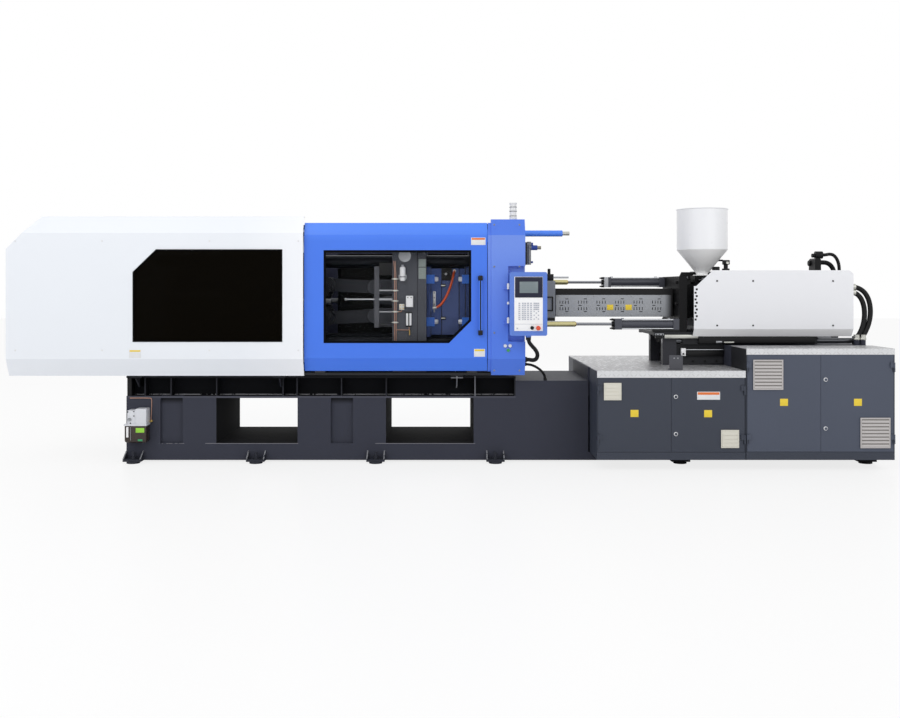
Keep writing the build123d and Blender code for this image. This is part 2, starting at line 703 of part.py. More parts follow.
def rear_link():
    """The upper rear link: two plates with the knee pin and the stubs for the cross links."""
    hole = PIN + 2 * PIN_CLEARANCE
    start = (TAIL_PIN_X, PIN_OFFSET)
    pieces = []
    stub_x, stub_z = cross_pin()
    for lane in mirrored_lanes(REAR_LANE):
        plate = link_plate(start, knee(), lane, LINK_HALF_WIDTH, (hole, PIN))
        far = lane[1] if lane[1] > 0 else lane[0]
        near = lane[0] if lane[1] > 0 else lane[1]
        outer = math.copysign(CROSS_LANE[1] + 1, far)
        plate += bar_y(stub_x, sorted((near, outer)), AXIS_Z + stub_z, CROSS_PIN)
        shoulder = sorted((far, math.copysign(CROSS_LANE[0] - 0.3, far)))
        plate += bar_y(stub_x, shoulder, AXIS_Z + stub_z, CROSS_PIN + 26)
        pieces.append(plate)
    knee_x, knee_z = knee()
    pieces.append(bar_y(knee_x, (-REAR_LANE[1] - 2, REAR_LANE[1] + 2), AXIS_Z + knee_z, PIN))
    return group(pieces)


def front_link():
    hole = PIN + 2 * PIN_CLEARANCE
    end = (front_pin_x(), PIN_OFFSET)
    link = link_plate(knee(), end, FRONT_LANE, LINK_HALF_WIDTH, (hole, hole))
    middle = ((knee()[0] + end[0]) / 2, 0, AXIS_Z + (knee()[1] + end[1]) / 2)
    pocket = Box(LINK - 260, FRONT_LANE[1] - FRONT_LANE[0] - 60, 24)
    for sign in (-1, 1):
        link -= Pos(*middle) * Rot(0, LINK_REST, 0) * Pos(0, 0, sign * (LINK_HALF_WIDTH - 8)) * pocket
    return link


def cross_link():
    hole = CROSS_PIN + 2 * PIN_CLEARANCE
    pieces = []
    for lane in mirrored_lanes(CROSS_LANE):
        pieces.append(link_plate(cross_pin(), (crosshead_x(), PIN_OFFSET), lane, 46.0, (hole, hole)))
    return group(pieces)


def upside_down(shape):
    """The lower toggle is the upper one mirrored about the axis."""
    return mirror(shape, about=Plane.XY.offset(AXIS_Z))


def crosshead():
    """The crosshead with its ears, cross pins and the clamp cylinder's piston rod."""
    x = crosshead_x()
    half = CROSSHEAD_HEIGHT / 2
    core = block((x - 160, x - 20), (-CROSSHEAD_HALF_WIDTH, CROSSHEAD_HALF_WIDTH), (AXIS_Z - half, AXIS_Z + half))
    for y in (-GUIDE_ROD_Y, GUIDE_ROD_Y):
        core -= bar_x((x - 170, x), y, AXIS_Z, GUIDE_ROD + 2 * PIN_CLEARANCE)
    pins = []
    for sign in (-1, 1):
        pin_z = AXIS_Z + sign * PIN_OFFSET
        for lane in mirrored_lanes(EAR_LANE):
            low, high = sorted((AXIS_Z, pin_z))
            core += block((x - 160, x - 20), lane, (low, high))
            core += plate_xz([(x - 160, pin_z), (x - 20, AXIS_Z), (x + 50, pin_z)], lane)
            core += bar_y(x, lane, pin_z, 100.0)
            core += block((x - 160, x), lane, (pin_z - 50, pin_z + 50))
            outer = math.copysign(EAR_LANE[1] + 2, lane[0])
            inner = math.copysign(CROSS_LANE[0], lane[0])
            pins.append(bar_y(x, sorted((inner, outer)), pin_z, CROSS_PIN))
    for pin in pins:
        core -= pin
    rod_left = TAIL_PLATEN[0] - 60
    rod = bar_x((rod_left, x - 160), 0, AXIS_Z, CLAMP_ROD)
    rod += bar_x((rod_left - 50, rod_left), 0, AXIS_Z, CLAMP_ROD + 39)
    return group([core, rod] + pins)


# Mould, ejector and safety bar

def mould_clamps(face, sign):
    """Four mould clamps on a platen face; sign is the way the mould lies from the face."""
    clamps = []
    for y in (-1, 1):
        for z in (-205.0, 230.0):
            edge = y * MOULD_HALF_DEPTH
            low, high = sorted((edge - y * 30, edge + y * 60))
            reach = sorted((face + sign * MOULD_CLAMP_PLATE, face + sign * (MOULD_CLAMP_PLATE + 38)))
            heel = sorted((face, face + sign * (MOULD_CLAMP_PLATE + 38)))
            heel_y = sorted((edge + y * 25, edge + y * 60))
            clamp = block(reach, (low, high), (AXIS_Z + z - 45, AXIS_Z + z + 45))
            clamp += block(heel, heel_y, (AXIS_Z + z - 45, AXIS_Z + z + 45))
            stud = sorted((face + sign * (MOULD_CLAMP_PLATE + 38), face + sign * (MOULD_CLAMP_PLATE + 75)))
            clamp += bar_x(stud, edge + y * 12, AXIS_Z + z, 38.0)
            clamps.append(clamp)
    return clamps


def mould_fixed_half():
    half = MOULD_HEIGHT / 2
    y = (-MOULD_HALF_DEPTH, MOULD_HALF_DEPTH)
    z = (AXIS_Z - half, AXIS_Z + half)
    plate_right = FIXED_PLATEN[0]
    clamp_left = plate_right - MOULD_CLAMP_PLATE
    body_y = (y[0] + 30, y[1] - 30)
    clamp_plate = block((clamp_left, plate_right), y, z)
    clamp_plate -= bar_x((clamp_left - 1, plate_right + 1), 0, AXIS_Z, 60.0)
    cavity = block((MOULD_PARTING, clamp_left), body_y, (z[0] + 20, z[1] - 20))
    cavity -= bar_x((MOULD_PARTING - 1, clamp_left + 1), 0, AXIS_Z, 16.0)
    return group([clamp_plate, cavity] + mould_clamps(plate_right, -1))


def mould_moving_half():
    half = MOULD_HEIGHT / 2
    y = (-MOULD_HALF_DEPTH, MOULD_HALF_DEPTH)
    z = (AXIS_Z - half, AXIS_Z + half)
    face = MOVING_PLATEN[1]
    spacer_left = face + MOULD_CLAMP_PLATE
    cavity_left = spacer_left + MOULD_SPACER
    clamp_plate = block((face, spacer_left), y, z)
    clamp_plate -= bar_x((face - 1, spacer_left + 1), 0, AXIS_Z, EJECTOR_ROD + 6)
    body_y = (y[0] + 30, y[1] - 30)
    pieces = [clamp_plate]
    for sign in (-1, 1):
        spacer_y = sorted((sign * body_y[1], sign * (body_y[1] - 90)))
        pieces.append(block((spacer_left, cavity_left), spacer_y, (z[0] + 20, z[1] - 20)))
    cavity = block((cavity_left, MOULD_PARTING - RUNNING_GAP), body_y, (z[0] + 20, z[1] - 20))
    for pin_y, pin_z in ejector_pins():
        cavity -= bar_x((cavity_left - 1, MOULD_PARTING + 1), pin_y, AXIS_Z + pin_z, 21.0)
    pieces.append(cavity)
    pieces.append(mould_manifold(face, body_y[0]))
    return group(pieces + mould_clamps(face, 1))


def mould_manifold(face, front):
    """The water manifold on the side of the mould."""
    x = (face + 24, face + 62)
    manifold = block(x, (-455.0, -420.0), (1500.0, 1700.0))
    manifold += block((x[0], x[1]), (-421.0, -MOULD_HALF_DEPTH), (1580.0, 1640.0))
    return manifold


def ejector_pins():
    return [(y * 120.0, z * 160.0) for y in (-1, 1) for z in (-1, 1)]


def ejector_plate():
    """The mould's ejector plates with their pins and the knock-out rod of the ejector cylinder."""
    face = MOVING_PLATEN[1]
    left = face + MOULD_CLAMP_PLATE + 1
    plate_y = (-MOULD_HALF_DEPTH + 30 + 90 + 2, MOULD_HALF_DEPTH - 30 - 90 - 2)
    plate = block((left, left + EJECTOR_PACK), plate_y, (AXIS_Z - 260, AXIS_Z + 260))
    plate += bar_x((MOVING_PLATEN[0] - 150, left), 0, AXIS_Z, EJECTOR_ROD)
    plate += bar_x((MOVING_PLATEN[0] - 200, MOVING_PLATEN[0] - 150), 0, AXIS_Z, EJECTOR_ROD + 13)
    for y, z in ejector_pins():
        plate += bar_x((left + EJECTOR_PACK, MOULD_PARTING - 75), y, AXIS_Z + z, 20.0)
    return plate


def safety_bar():
    """The mechanical safety bar and the bracket that fixes it to the moving platen."""
    top = AXIS_Z + PLATEN_SIZE / 2
    x = (MOVING_PLATEN[0] + 60, MOVING_PLATEN[0] + 200)
    bracket = plate_yz(
        [(-90, top), (90, top), (45, SAFETY_BAR_Z + 38), (-45, SAFETY_BAR_Z + 38)],
        x,
    )
    bar = bar_x((x[0] - 20, SAFETY_BAR_RIGHT), 0, SAFETY_BAR_Z, SAFETY_BAR)
    return bracket + bar


def safety_bar_tube():
    """The pawl block on the fixed platen and the tube that takes the safety bar."""
    top = AXIS_Z + PLATEN_SIZE / 2
    block_x = (FIXED_PLATEN[0] + 40, FIXED_PLATEN[1] - 20)
    housing = block(block_x, (-70, 70), (top, SAFETY_BAR_Z + 38))
    tube = bar_x((block_x[1], SAFETY_TUBE_RIGHT), 0, SAFETY_BAR_Z, SAFETY_TUBE)
    body = housing + tube
    body -= bar_x((block_x[0] - 1, SAFETY_TUBE_RIGHT - 12), 0, SAFETY_BAR_Z, SAFETY_BAR + 4)
    return body


# Guards, doors and their frame

def guard_line():
    return [
        (-GUARD_EDGE_Y + 80, GUARD_BOTTOM), (-GUARD_EDGE_Y, GUARD_BOTTOM), (-GUARD_Y, GUARD_LOW_FOLD),
        (-GUARD_Y, GUARD_TOP_FOLD), (-GUARD_EDGE_Y, GUARD_TOP), (-GUARD_EDGE_Y + 80, GUARD_TOP),
    ]


def guard_side():
    """The front guard: one folded sheet with a sloped end and a window."""
    sheet = plate_yz(sheet_outline(guard_line(), -SHEET), (GUARD_LEFT, GUARD_RIGHT))
    slope_z = GUARD_TOP - GUARD_SLOPE
    corner = [
        (GUARD_LEFT - 1, slope_z - 1), (GUARD_LEFT - 1, GUARD_TOP + 1), (GUARD_LEFT + GUARD_SLOPE + 1, GUARD_TOP + 1),
    ]
    sheet -= plate_xz(corner, (-GUARD_Y - 1, 0))
    window = cut_corner(GUARD_WINDOW, GUARD_WINDOW_CUT, "top_left")
    sheet -= plate_xz(window, (-GUARD_Y - 1, -GUARD_Y + 20))
    return sheet


def clamp_guards():
    """The two side guards and the end guard between them."""
    inner = sheet_outline(guard_line(), -SHEET)[6:]
    prism = plate_yz(inner, (GUARD_LEFT, GUARD_LEFT + GUARD_SLOPE + 20))
    prism += mirror(prism, about=Plane.XZ)
    between = (-GUARD_EDGE_Y + 80, GUARD_EDGE_Y - 80)
    prism += block((GUARD_LEFT, GUARD_LEFT + GUARD_SLOPE + 20), between, (GUARD_BOTTOM + SHEET, GUARD_TOP - SHEET))
    slope_z = GUARD_TOP - GUARD_SLOPE
    line = [(GUARD_LEFT, GUARD_BOTTOM), (GUARD_LEFT, slope_z), (GUARD_LEFT + GUARD_SLOPE, GUARD_TOP)]
    end = plate_xz(sheet_outline(line, -SHEET), (-GUARD_Y, GUARD_Y)) & prism
    return group(both_sides(guard_side()) + [end])


def window_pane(window, cut, corner, y):
    """A pane behind a window, lapped all round by the sheet in front of it."""
    left, right, bottom, top = window
    lapped = (left - PANE_LAP, right + PANE_LAP, bottom - PANE_LAP, top + PANE_LAP)
    return plate_xz(cut_corner(lapped, cut, corner), (y, y + PANE))


def guard_windows():
    pane = window_pane(GUARD_WINDOW, GUARD_WINDOW_CUT, "top_left", -GUARD_Y + SHEET)
    return group(both_sides(pane))


def safety_door():
    """A sliding door: one folded sheet with its window, handle, rollers and shoes."""
    line = [
        (-DOOR_EDGE_Y, DOOR_BOTTOM), (-DOOR_Y, DOOR_LOW_FOLD), (-DOOR_Y, DOOR_TOP_FOLD), (-DOOR_EDGE_Y, DOOR_TOP),
    ]
    sheet = plate_yz(sheet_outline(line, -SHEET), DOOR)
    window = cut_corner(DOOR_WINDOW, DOOR_WINDOW_CUT, "bottom_right")
    sheet -= plate_xz(window, (-DOOR_Y - 1, -DOOR_Y + 20))
    hangers = []
    for place in (DOOR[0] + 150, DOOR[1] - 150):
        shoe_y = (-DOOR_EDGE_Y, -DOOR_EDGE_Y + 40)
        hangers.append(block((place - 50, place + 50), shoe_y, (LOW_RAIL_Z[1] + RUNNING_GAP, DOOR_BOTTOM + 5)))
        hangers.append(block((place - 50, place + 50), shoe_y, (TOP_RAIL_Z[1] + RUNNING_GAP, DOOR_TOP)))
    return group([joined(sheet, *hangers), door_handle()])


def door_handle():
    """A square bar between two standoff blocks."""
    x = (HANDLE_X - HANDLE_WIDTH / 2, HANDLE_X + HANDLE_WIDTH / 2)
    bar = block((x[0] + 4, x[1] - 4), (-DOOR_Y - 58, -DOOR_Y - 30), HANDLE_Z)
    for low in (HANDLE_Z[0], HANDLE_Z[1] - 50):
        bar += block(x, (-DOOR_Y - 60, -DOOR_Y), (low, low + 50))
    return bar


def door_window():
    return window_pane(DOOR_WINDOW, DOOR_WINDOW_CUT, "bottom_right", -DOOR_Y + SHEET)


def guard_frame():
    """Door rails along both sides, posts on them and braces across."""
    pieces = []
    left = GUARD_LEFT + SHEET
    slope_left = GUARD_LEFT + GUARD_SLOPE + 30
    for sign in (-1, 1):
        rail_y = sorted((sign * RAIL_Y[0], sign * RAIL_Y[1]))
        top_rail_y = sorted((sign * TOP_RAIL_Y[0], sign * TOP_RAIL_Y[1]))
        post_y = sorted((sign * RAIL_Y[0], sign * (RAIL_Y[0] + POST)))
        rail = block((left, COVER[0]), rail_y, LOW_RAIL_Z)
        rail += block((slope_left, COVER[0]), top_rail_y, TOP_RAIL_Z)
        for place in POST_PLACES:
            top = GUARD_TOP - GUARD_SLOPE - 8 if place < slope_left else GUARD_TOP - SHEET
            rail += block((place - POST / 2, place + POST / 2), post_y, (LOW_RAIL_Z[1], top))
        pieces.append(rail)
    frame = joined(*pieces)
    for place in BRACE_PLACES:
        frame += block((place - POST / 2, place + POST / 2), (-RAIL_Y[0] - POST, RAIL_Y[0] + POST), BRACE_Z)
    return frame


def cover_line():
    return [
        (-COVER_EDGE_Y, COVER_BOTTOM), (-COVER_Y, COVER_LOW_FOLD), (-COVER_Y, COVER_TOP_FOLD),
        (-COVER_EDGE_Y, COVER_TOP), (-PLATEN_SIZE / 2, COVER_TOP),
    ]


def platen_cover():
    """A folded cover over the side of the fixed platen, with the door jamb beside it."""
    outline = cover_line() + [(-PLATEN_SIZE / 2, COVER_BOTTOM)]
    body = plate_yz(outline, COVER)
    inner = sheet_outline(cover_line(), -SHEET)[5:]
    inner = inner[1:] + [(-PLATEN_SIZE / 2 + 1, COVER_BOTTOM - 1), (-PLATEN_SIZE / 2 + 1, COVER_TOP - SHEET)]
    inner[3] = (inner[3][0], COVER_BOTTOM - 1)
    body -= plate_yz(inner, (COVER[0] + SHEET, COVER[1] - SHEET))
    jamb_line = [
        (-COVER_EDGE_Y, JAMB_Z[0]), (-JAMB_Y, COVER_LOW_FOLD), (-JAMB_Y, COVER_TOP_FOLD), (-COVER_EDGE_Y, JAMB_Z[1]),
    ]
    jamb = plate_yz(sheet_outline(jamb_line, -JAMB), (JAMB_LEFT, COVER[0]))
    return body, jamb


def platen_covers():
    """The covers on both sides; the front one carries the panel's hinge pins and the buttons' rings."""
    rear, rear_jamb = [mirror(piece, about=Plane.XZ) for piece in platen_cover()]
    front, front_jamb = platen_cover()
    front = notched(front)
    for x, z in BUTTON_PLACES.values():
        front += bar_y(x, (-COVER_Y - 7, -COVER_Y), z, BUTTON + 12)
        front -= bar_y(x, (-COVER_Y - 8, -COVER_Y - 0.5), z, BUTTON + 1)
        front -= bar_y(x, (-COVER_Y - 8, -COVER_Y + 20), z, BUTTON - 8)
    pin_x, pin_y = PANEL_HINGE
    for z in PANEL_HINGE_Z:
        shelf = z - KNUCKLE / 2
        front += block((pin_x - 45, pin_x + 10), (pin_y - HINGE_PIN / 2, -COVER_Y), (shelf - 12, shelf))
        front += bar_z(pin_x, pin_y, (shelf, shelf + KNUCKLE), HINGE_PIN)
    return group([front, front_jamb, rear, rear_jamb])


def notched(cover):
    """Sinks the part of a cover behind the operator panel, with sheet sides and a back."""
    left, bottom, top = COVER_NOTCH
    right = COVER[1]
    floor = -COVER_Y + NOTCH_DEPTH
    cover -= block((left, right + 1), (-COVER_Y - 1, floor), (bottom, top))
    lapped = (left - SHEET, right)
    tray = block(lapped, (floor, floor + SHEET), (bottom - SHEET, top + SHEET))
    tray += block((left - SHEET, left), (-COVER_Y, floor + SHEET), (bottom - SHEET, top + SHEET))
    for low in (bottom - SHEET, top):
        tray += block(lapped, (-COVER_Y, floor + SHEET), (low, low + SHEET))
    return cover + tray


def signal_tower():
    """A foot, two lamps and a cap, stacked on the cover."""
    x, y = TOWER_PLACE
    top = COVER_TOP + TOWER_HEIGHT
    middle = COVER_TOP + 0.55 * TOWER_HEIGHT
    tower = bar_z(x, y, (COVER_TOP, top), TOWER - 8)
    for low, high in ((COVER_TOP, COVER_TOP + 24), (middle - 4, middle + 4), (top - 12, top)):
        tower += bar_z(x, y, (low, high), TOWER)
    return tower


# Operator panel and buttons

def control_panel():
    """The panel housing with its recessed plate, screen opening and hinge knuckles."""
    left, right, bottom, top = PANEL
    housing = block((left, right), PANEL_Y, (bottom, top))
    upright = housing.edges().filter_by(Axis.Y)
    housing = fillet(upright, 18)
    plate_left, plate_right, plate_bottom, plate_top = PANEL_PLATE
    housing -= block((plate_left, plate_right), (PANEL_Y[0] - 1, PANEL_Y[0] + 3), (plate_bottom, plate_top))
    screen_left, screen_right, screen_bottom, screen_top = PANEL_SCREEN
    housing -= block((screen_left, screen_right), (PANEL_Y[0], PANEL_Y[0] + 9), (screen_bottom, screen_top))
    stop_x, stop_z, stop_size = STOP_BUTTON
    housing -= bar_y(stop_x, (PANEL_Y[0] - 1, PANEL_Y[0] + 40), stop_z, stop_size - 18)
    knob_x, knob_z, knob_size = SELECTOR
    housing -= bar_y(knob_x, (PANEL_Y[0] - 1, PANEL_Y[0] + 30), knob_z, knob_size - 14)
    pin_x, pin_y = PANEL_HINGE
    for z in PANEL_HINGE_Z:
        knuckle_z = (z - KNUCKLE / 2 + RUNNING_GAP, z + KNUCKLE / 2)
        housing += bar_z(pin_x, pin_y, knuckle_z, HINGE_PIN + 14)
        housing += block((pin_x, pin_x + 60), (pin_y - 8, pin_y + 8), knuckle_z)
        housing += block((pin_x + 30, pin_x + 60), (PANEL_Y[1], pin_y), knuckle_z)
        housing -= bar_z(pin_x, pin_y, (z - KNUCKLE, z + KNUCKLE), HINGE_PIN + 2 * PIN_CLEARANCE)
    gland_x, gland_y, gland_z = panel_conduit_points()[0]
    housing += bar_z(gland_x, gland_y, (gland_z, bottom + 1), 56.0)
    return housing


def emergency_stop():
    x, z, size = STOP_BUTTON
    plate = PANEL_Y[0] + 3
    head = bar_y(x, (plate - 38, plate - 16), z, size)
    head = fillet(head.edges().group_by(Axis.Y)[0], 6)
    return head + bar_y(x, (plate - 16, plate + 20), z, size - 18.6)


def selector_knob():
    x, z, size = SELECTOR
    plate = PANEL_Y[0] + 3
    knob = bar_y(x, (plate - 14, plate - RUNNING_GAP), z, size)
    knob += block((x - 4, x + 4), (plate - 24, plate - 14), (z - size / 2 + 1, z + size / 2 - 1))
    return knob + bar_y(x, (plate - RUNNING_GAP, plate + 20), z, size - 14.6)


def push_button(place):
    x, z = place
    cap = bar_y(x, (-COVER_Y - 16, -COVER_Y - 5), z, BUTTON)
    return cap + bar_y(x, (-COVER_Y - 5, -COVER_Y + 14), z, BUTTON - 8.6)


# Cabinets, doors and decks

def cabinet(x, z_top, door_z):
    """A cabinet box, open in front behind its doors."""
    y = (-CABINET_FRONT, -CABINET_BACK)
    box = block(x, y, (CABINET_BASE, z_top))
    wall = CABINET_SHEET
    box -= block((x[0] + wall, x[1] - wall), (y[0] + CABINET_DOOR, y[1] - wall), (CABINET_BASE + wall, z_top - wall))
    opening = (door_z[0] - DOOR_GAP, door_z[1] + DOOR_GAP)
    box -= block((x[0] + wall, x[1] - wall), (y[0] - 1, y[0] + CABINET_DOOR + 1), opening)
    return box


def centre_post(split, z_top):
    """The post behind the meeting edges of a pair of doors."""
    y = (-CABINET_FRONT + CABINET_DOOR + RUNNING_GAP, -CABINET_FRONT + CABINET_DOOR + 30)
    return block((split - 20, split + 20), y, (CABINET_BASE + 1, z_top - 1))


def front_cabinets():
    """Both front cabinets, with the drive plate of the control gear in the high one."""
    low_top = LOW_DECK - DECK_SHEET
    high_top = HIGH_DECK - DECK_SHEET
    low = cabinet(LOW_CABINET, low_top, LOW_DOOR_Z) + centre_post(LOW_SPLIT, low_top)
    high = cabinet(HIGH_CABINET, high_top, HIGH_DOOR_Z) + centre_post(HIGH_SPLIT, high_top)
    for x, doors in ((LOW_CABINET, LOW_DOOR_Z), (HIGH_CABINET, HIGH_DOOR_Z)):
        for side, edge in ((1, x[0]), (-1, x[1])):
            for z in hinge_heights(doors):
                pin_y = -CABINET_FRONT - CABINET_HINGE_OUT
                pin = bar_z(edge + side * 10, pin_y, (z - 45, z + 45), CABINET_HINGE)
                leaf_x = sorted((edge, edge + side * 10))
                leaf = block(leaf_x, (pin_y - 4, -CABINET_FRONT + 2), (z - 45, z - 5))
                if x is LOW_CABINET:
                    low += pin + leaf
                else:
                    high += pin + leaf
    back = -CABINET_BACK - CABINET_SHEET
    plate = block((HIGH_CABINET[0] + 60, HIGH_CABINET[1] - 60), (back - 12, back), (260, 1040))
    modules = []
    for index in range(5):
        left = HIGH_CABINET[0] + 120 + index * 240
        modules.append(block((left, left + 180), (back - 160, back - 12), (640, 960)))
    for index in range(2):
        left = HIGH_CABINET[0] + 120 + index * 620
        modules.append(block((left, left + 520), (back - 90, back - 12), (360, 500)))
    return group([low, high, joined(plate, *modules)])


def hinge_heights(door_z):
    return (door_z[0] + 120, door_z[1] - 120)


def cabinet_door(x, split, door_z, side, vent, latches):
    """One cabinet door. side is -1 for the left-hand door, hinged at the left edge, and 1 for the right."""
    wall = CABINET_SHEET
    if side < 0:
        span = (x[0] + wall + DOOR_GAP, split - DOOR_GAP / 2)
        pin_x = x[0] + 10
    else:
        span = (split + DOOR_GAP / 2, x[1] - wall - DOOR_GAP)
        pin_x = x[1] - 10
    y = (-CABINET_FRONT, -CABINET_FRONT + CABINET_DOOR)
    door = block(span, y, door_z)
    left, right, bottom, top = vent
    door += block((left, right), (y[0] - 8, y[0]), (bottom, top))
    for z in hinge_heights(door_z):
        leaf = sorted((pin_x, pin_x - side * 34))
        pin_y = y[0] - CABINET_HINGE_OUT
        door -= block((pin_x - 12, pin_x + 12), (pin_y - 4, y[0] + 4), (z - 46, z - 4))
        door += block(leaf, (pin_y - 3, y[0]), (z - 4, z + 45))
        door += bar_z(pin_x, pin_y, (z - 4, z + 45), CABINET_HINGE + 9)
        door -= bar_z(pin_x, pin_y, (z - 50, z + 50), CABINET_HINGE + 2 * PIN_CLEARANCE)
    for latch_x, latch_z in latches:
        door += bar_y(latch_x, (y[0] - 16, y[0]), latch_z, LATCH)
    return door


def cabinet_doors():
    """The four front doors by name."""
    vents = {
        "low_left": (1520.0, 1687.0, 671.0, 836.0),
        "low_right": (2636.0, 2808.0, 216.0, 388.0),
        "high_left": (2943.0, 3229.0, 770.0, 1057.0),
        "high_right": (3964.0, 4250.0, 214.0, 504.0),
    }
    low = (LOW_CABINET, LOW_SPLIT, LOW_DOOR_Z)
    high = (HIGH_CABINET, HIGH_SPLIT, HIGH_DOOR_Z)
    low_latches = [(LOW_SPLIT + 42, 704.0), (LOW_SPLIT + 42, 348.0)]
    high_latches = [(HIGH_SPLIT + 44, 867.0), (HIGH_SPLIT + 44, 401.0)]
    return {
        "cabinet_door_low_left": cabinet_door(*low, -1, vents["low_left"], []),
        "cabinet_door_low_right": cabinet_door(*low, 1, vents["low_right"], low_latches),
        "cabinet_door_high_left": cabinet_door(*high, -1, vents["high_left"], []),
        "cabinet_door_high_right": cabinet_door(*high, 1, vents["high_right"], high_latches),
    }


def rear_cabinets():
    """The closed cabinets behind the machine, with fixed panels in place of doors."""
    pieces = []
    for x, z_top, door_z, split in (
        (LOW_CABINET, LOW_DECK - DECK_SHEET, LOW_DOOR_Z, LOW_SPLIT),
        (HIGH_CABINET, HIGH_DECK - DECK_SHEET, HIGH_DOOR_Z, HIGH_SPLIT),
    ):
        box = block(x, (CABINET_BACK, CABINET_FRONT), (CABINET_BASE, z_top))
        for left, right in ((x[0] + CABINET_SHEET, split), (split, x[1] - CABINET_SHEET)):
            for edge in (left, right):
                groove = (edge - DOOR_GAP / 2, edge + DOOR_GAP / 2)
                box -= block(groove, (CABINET_FRONT - 8, CABINET_FRONT + 1), door_z)
            for edge in door_z:
                groove = (edge - DOOR_GAP / 2, edge + DOOR_GAP / 2)
                box -= block((left, right), (CABINET_FRONT - 8, CABINET_FRONT + 1), groove)
        pieces.append(box)
    return group(pieces)


def deck_plates():
    """Checker-plate decks with folded lips over the cabinets."""
    reach = CABINET_FRONT + DECK_SHEET
    pieces = []
    low_y = (-reach, reach)
    low = block(LOW_CABINET, low_y, (LOW_DECK - DECK_SHEET, LOW_DECK))
    for sign in (-1, 1):
        lip_y = sorted((sign * CABINET_FRONT, sign * reach))
        low += block(LOW_CABINET, lip_y, (LOW_DECK - LOW_LIP, LOW_DECK))
    pieces.append(low)
    for sign in (-1, 1):
        high_y = sorted((sign * INJECTION_BED_HALF_WIDTH, sign * reach))
        lip_y = sorted((sign * CABINET_FRONT, sign * reach))
        high = block(HIGH_CABINET, high_y, (HIGH_DECK - DECK_SHEET, HIGH_DECK))
        high += block(HIGH_CABINET, lip_y, (HIGH_DECK - HIGH_LIP, HIGH_DECK))
        pieces.append(high)
    return group(pieces)


def pump_motor():
    """The electric motor and hydraulic pump on their rail inside the low cabinet."""
    y = -CABINET_FRONT + PUMP_MOTOR * 0.73
    floor = CABINET_BASE + CABINET_SHEET
    centre = floor + PUMP_MOTOR * 0.7
    left = LOW_CABINET[0] + PUMP_MOTOR * 0.67
    right = left + PUMP_MOTOR_LENGTH
    motor = bar_x((left, right), y, centre, PUMP_MOTOR)
    pitch = (PUMP_MOTOR_LENGTH - 60) / PUMP_MOTOR_FINS
    for index in range(PUMP_MOTOR_FINS):
        fin = left + 40 + index * pitch
        motor += bar_x((fin, fin + 14), y, centre, PUMP_MOTOR + 22)
    motor += bar_x((left - 70, left), y, centre, PUMP_MOTOR - 50)
    half = PUMP_MOTOR * 0.4
    feet = block((left + 60, right - 60), (y - half, y + half), (floor, centre - PUMP_MOTOR / 3))
    bell_right = right + PUMP_BELL[1]
    bell = bar_x((right, bell_right), y, centre, PUMP_BELL[0])
    pump = bar_x((bell_right, bell_right + PUMP[1]), y, centre, PUMP[0])
    pump += block((bell_right + 60, bell_right + PUMP[1] - 40), (y - 70, y + 70), (centre, centre + PUMP[0] * 0.83))
    return joined(motor, feet, bell, pump)


# Injection unit

def carriage_guides():
    """Chrome rails on the bed, the pull-in rods in the fixed platen and the purge guard's two rods."""
    low, high = RAIL_ROD_X
    pieces = []
    for sign in (-1, 1):
        y = sign * RAIL_ROD_Y
        rail = bar_x(RAIL_ROD_X, y, RAIL_ROD_Z, RAIL_ROD)
        span = (y - RAIL_SUPPORT / 2, y + RAIL_SUPPORT / 2)
        rail += block((low - 22, low + 118), span, (LOW_DECK, CARRIAGE_BOTTOM - 8))
        rail += block((high - 65, high), span, (HIGH_DECK - DECK_SHEET, CARRIAGE_BOTTOM - 8))
        pieces.append(rail)
    face = FIXED_PLATEN[1]
    for y, z in PULL_CYLINDERS:
        rod = bar_x((face, PULL_ROD_RIGHT), y, z, PULL_ROD)
        rod += bar_x((face, PULL_SLEEVE_RIGHT), y, z, PULL_SLEEVE)
        rod += bar_x((PULL_ROD_RIGHT - 40, PULL_ROD_RIGHT), y, z, PULL_BORE - 0.6)
        pieces.append(rod)
    for sign in (-1, 1):
        pieces.append(bar_x((face, PURGE_ROD_RIGHT), sign * PURGE_ROD_Y, PURGE_ROD_Z, PURGE_ROD))
    return group(pieces)


def carriage_base():
    """The base plate with four bearing blocks on the rails."""
    half = CARRIAGE_HALF_WIDTH
    base = block(CARRIAGE, (-half, half), (CARRIAGE_BOTTOM, CARRIAGE_TOP))
    nose = block((CARRIAGE_NOSE, CARRIAGE[0]), (-half, half), (CARRIAGE_BOTTOM + 9, CARRIAGE_TOP))
    for sign in (-1, 1):
        side = sorted((sign * (half - 70), sign * half))
        nose += block((CARRIAGE_NOSE, CARRIAGE[0]), side, (CARRIAGE_BOTTOM + 3, CARRIAGE_TOP + 22))
    base += nose
    for x in (CARRIAGE[0] + 120, CARRIAGE[1] - 120):
        for sign in (-1, 1):
            y = sign * RAIL_ROD_Y
            half_width = BEARING / 2
            bearing = block((x - 80, x + 80), (y - half_width, y + half_width), (RAIL_ROD_Z - 36, CARRIAGE_BOTTOM + 1))
            base += bearing - bar_x((x - 81, x + 81), y, RAIL_ROD_Z, RAIL_ROD + 2 * PIN_CLEARANCE)
    return base


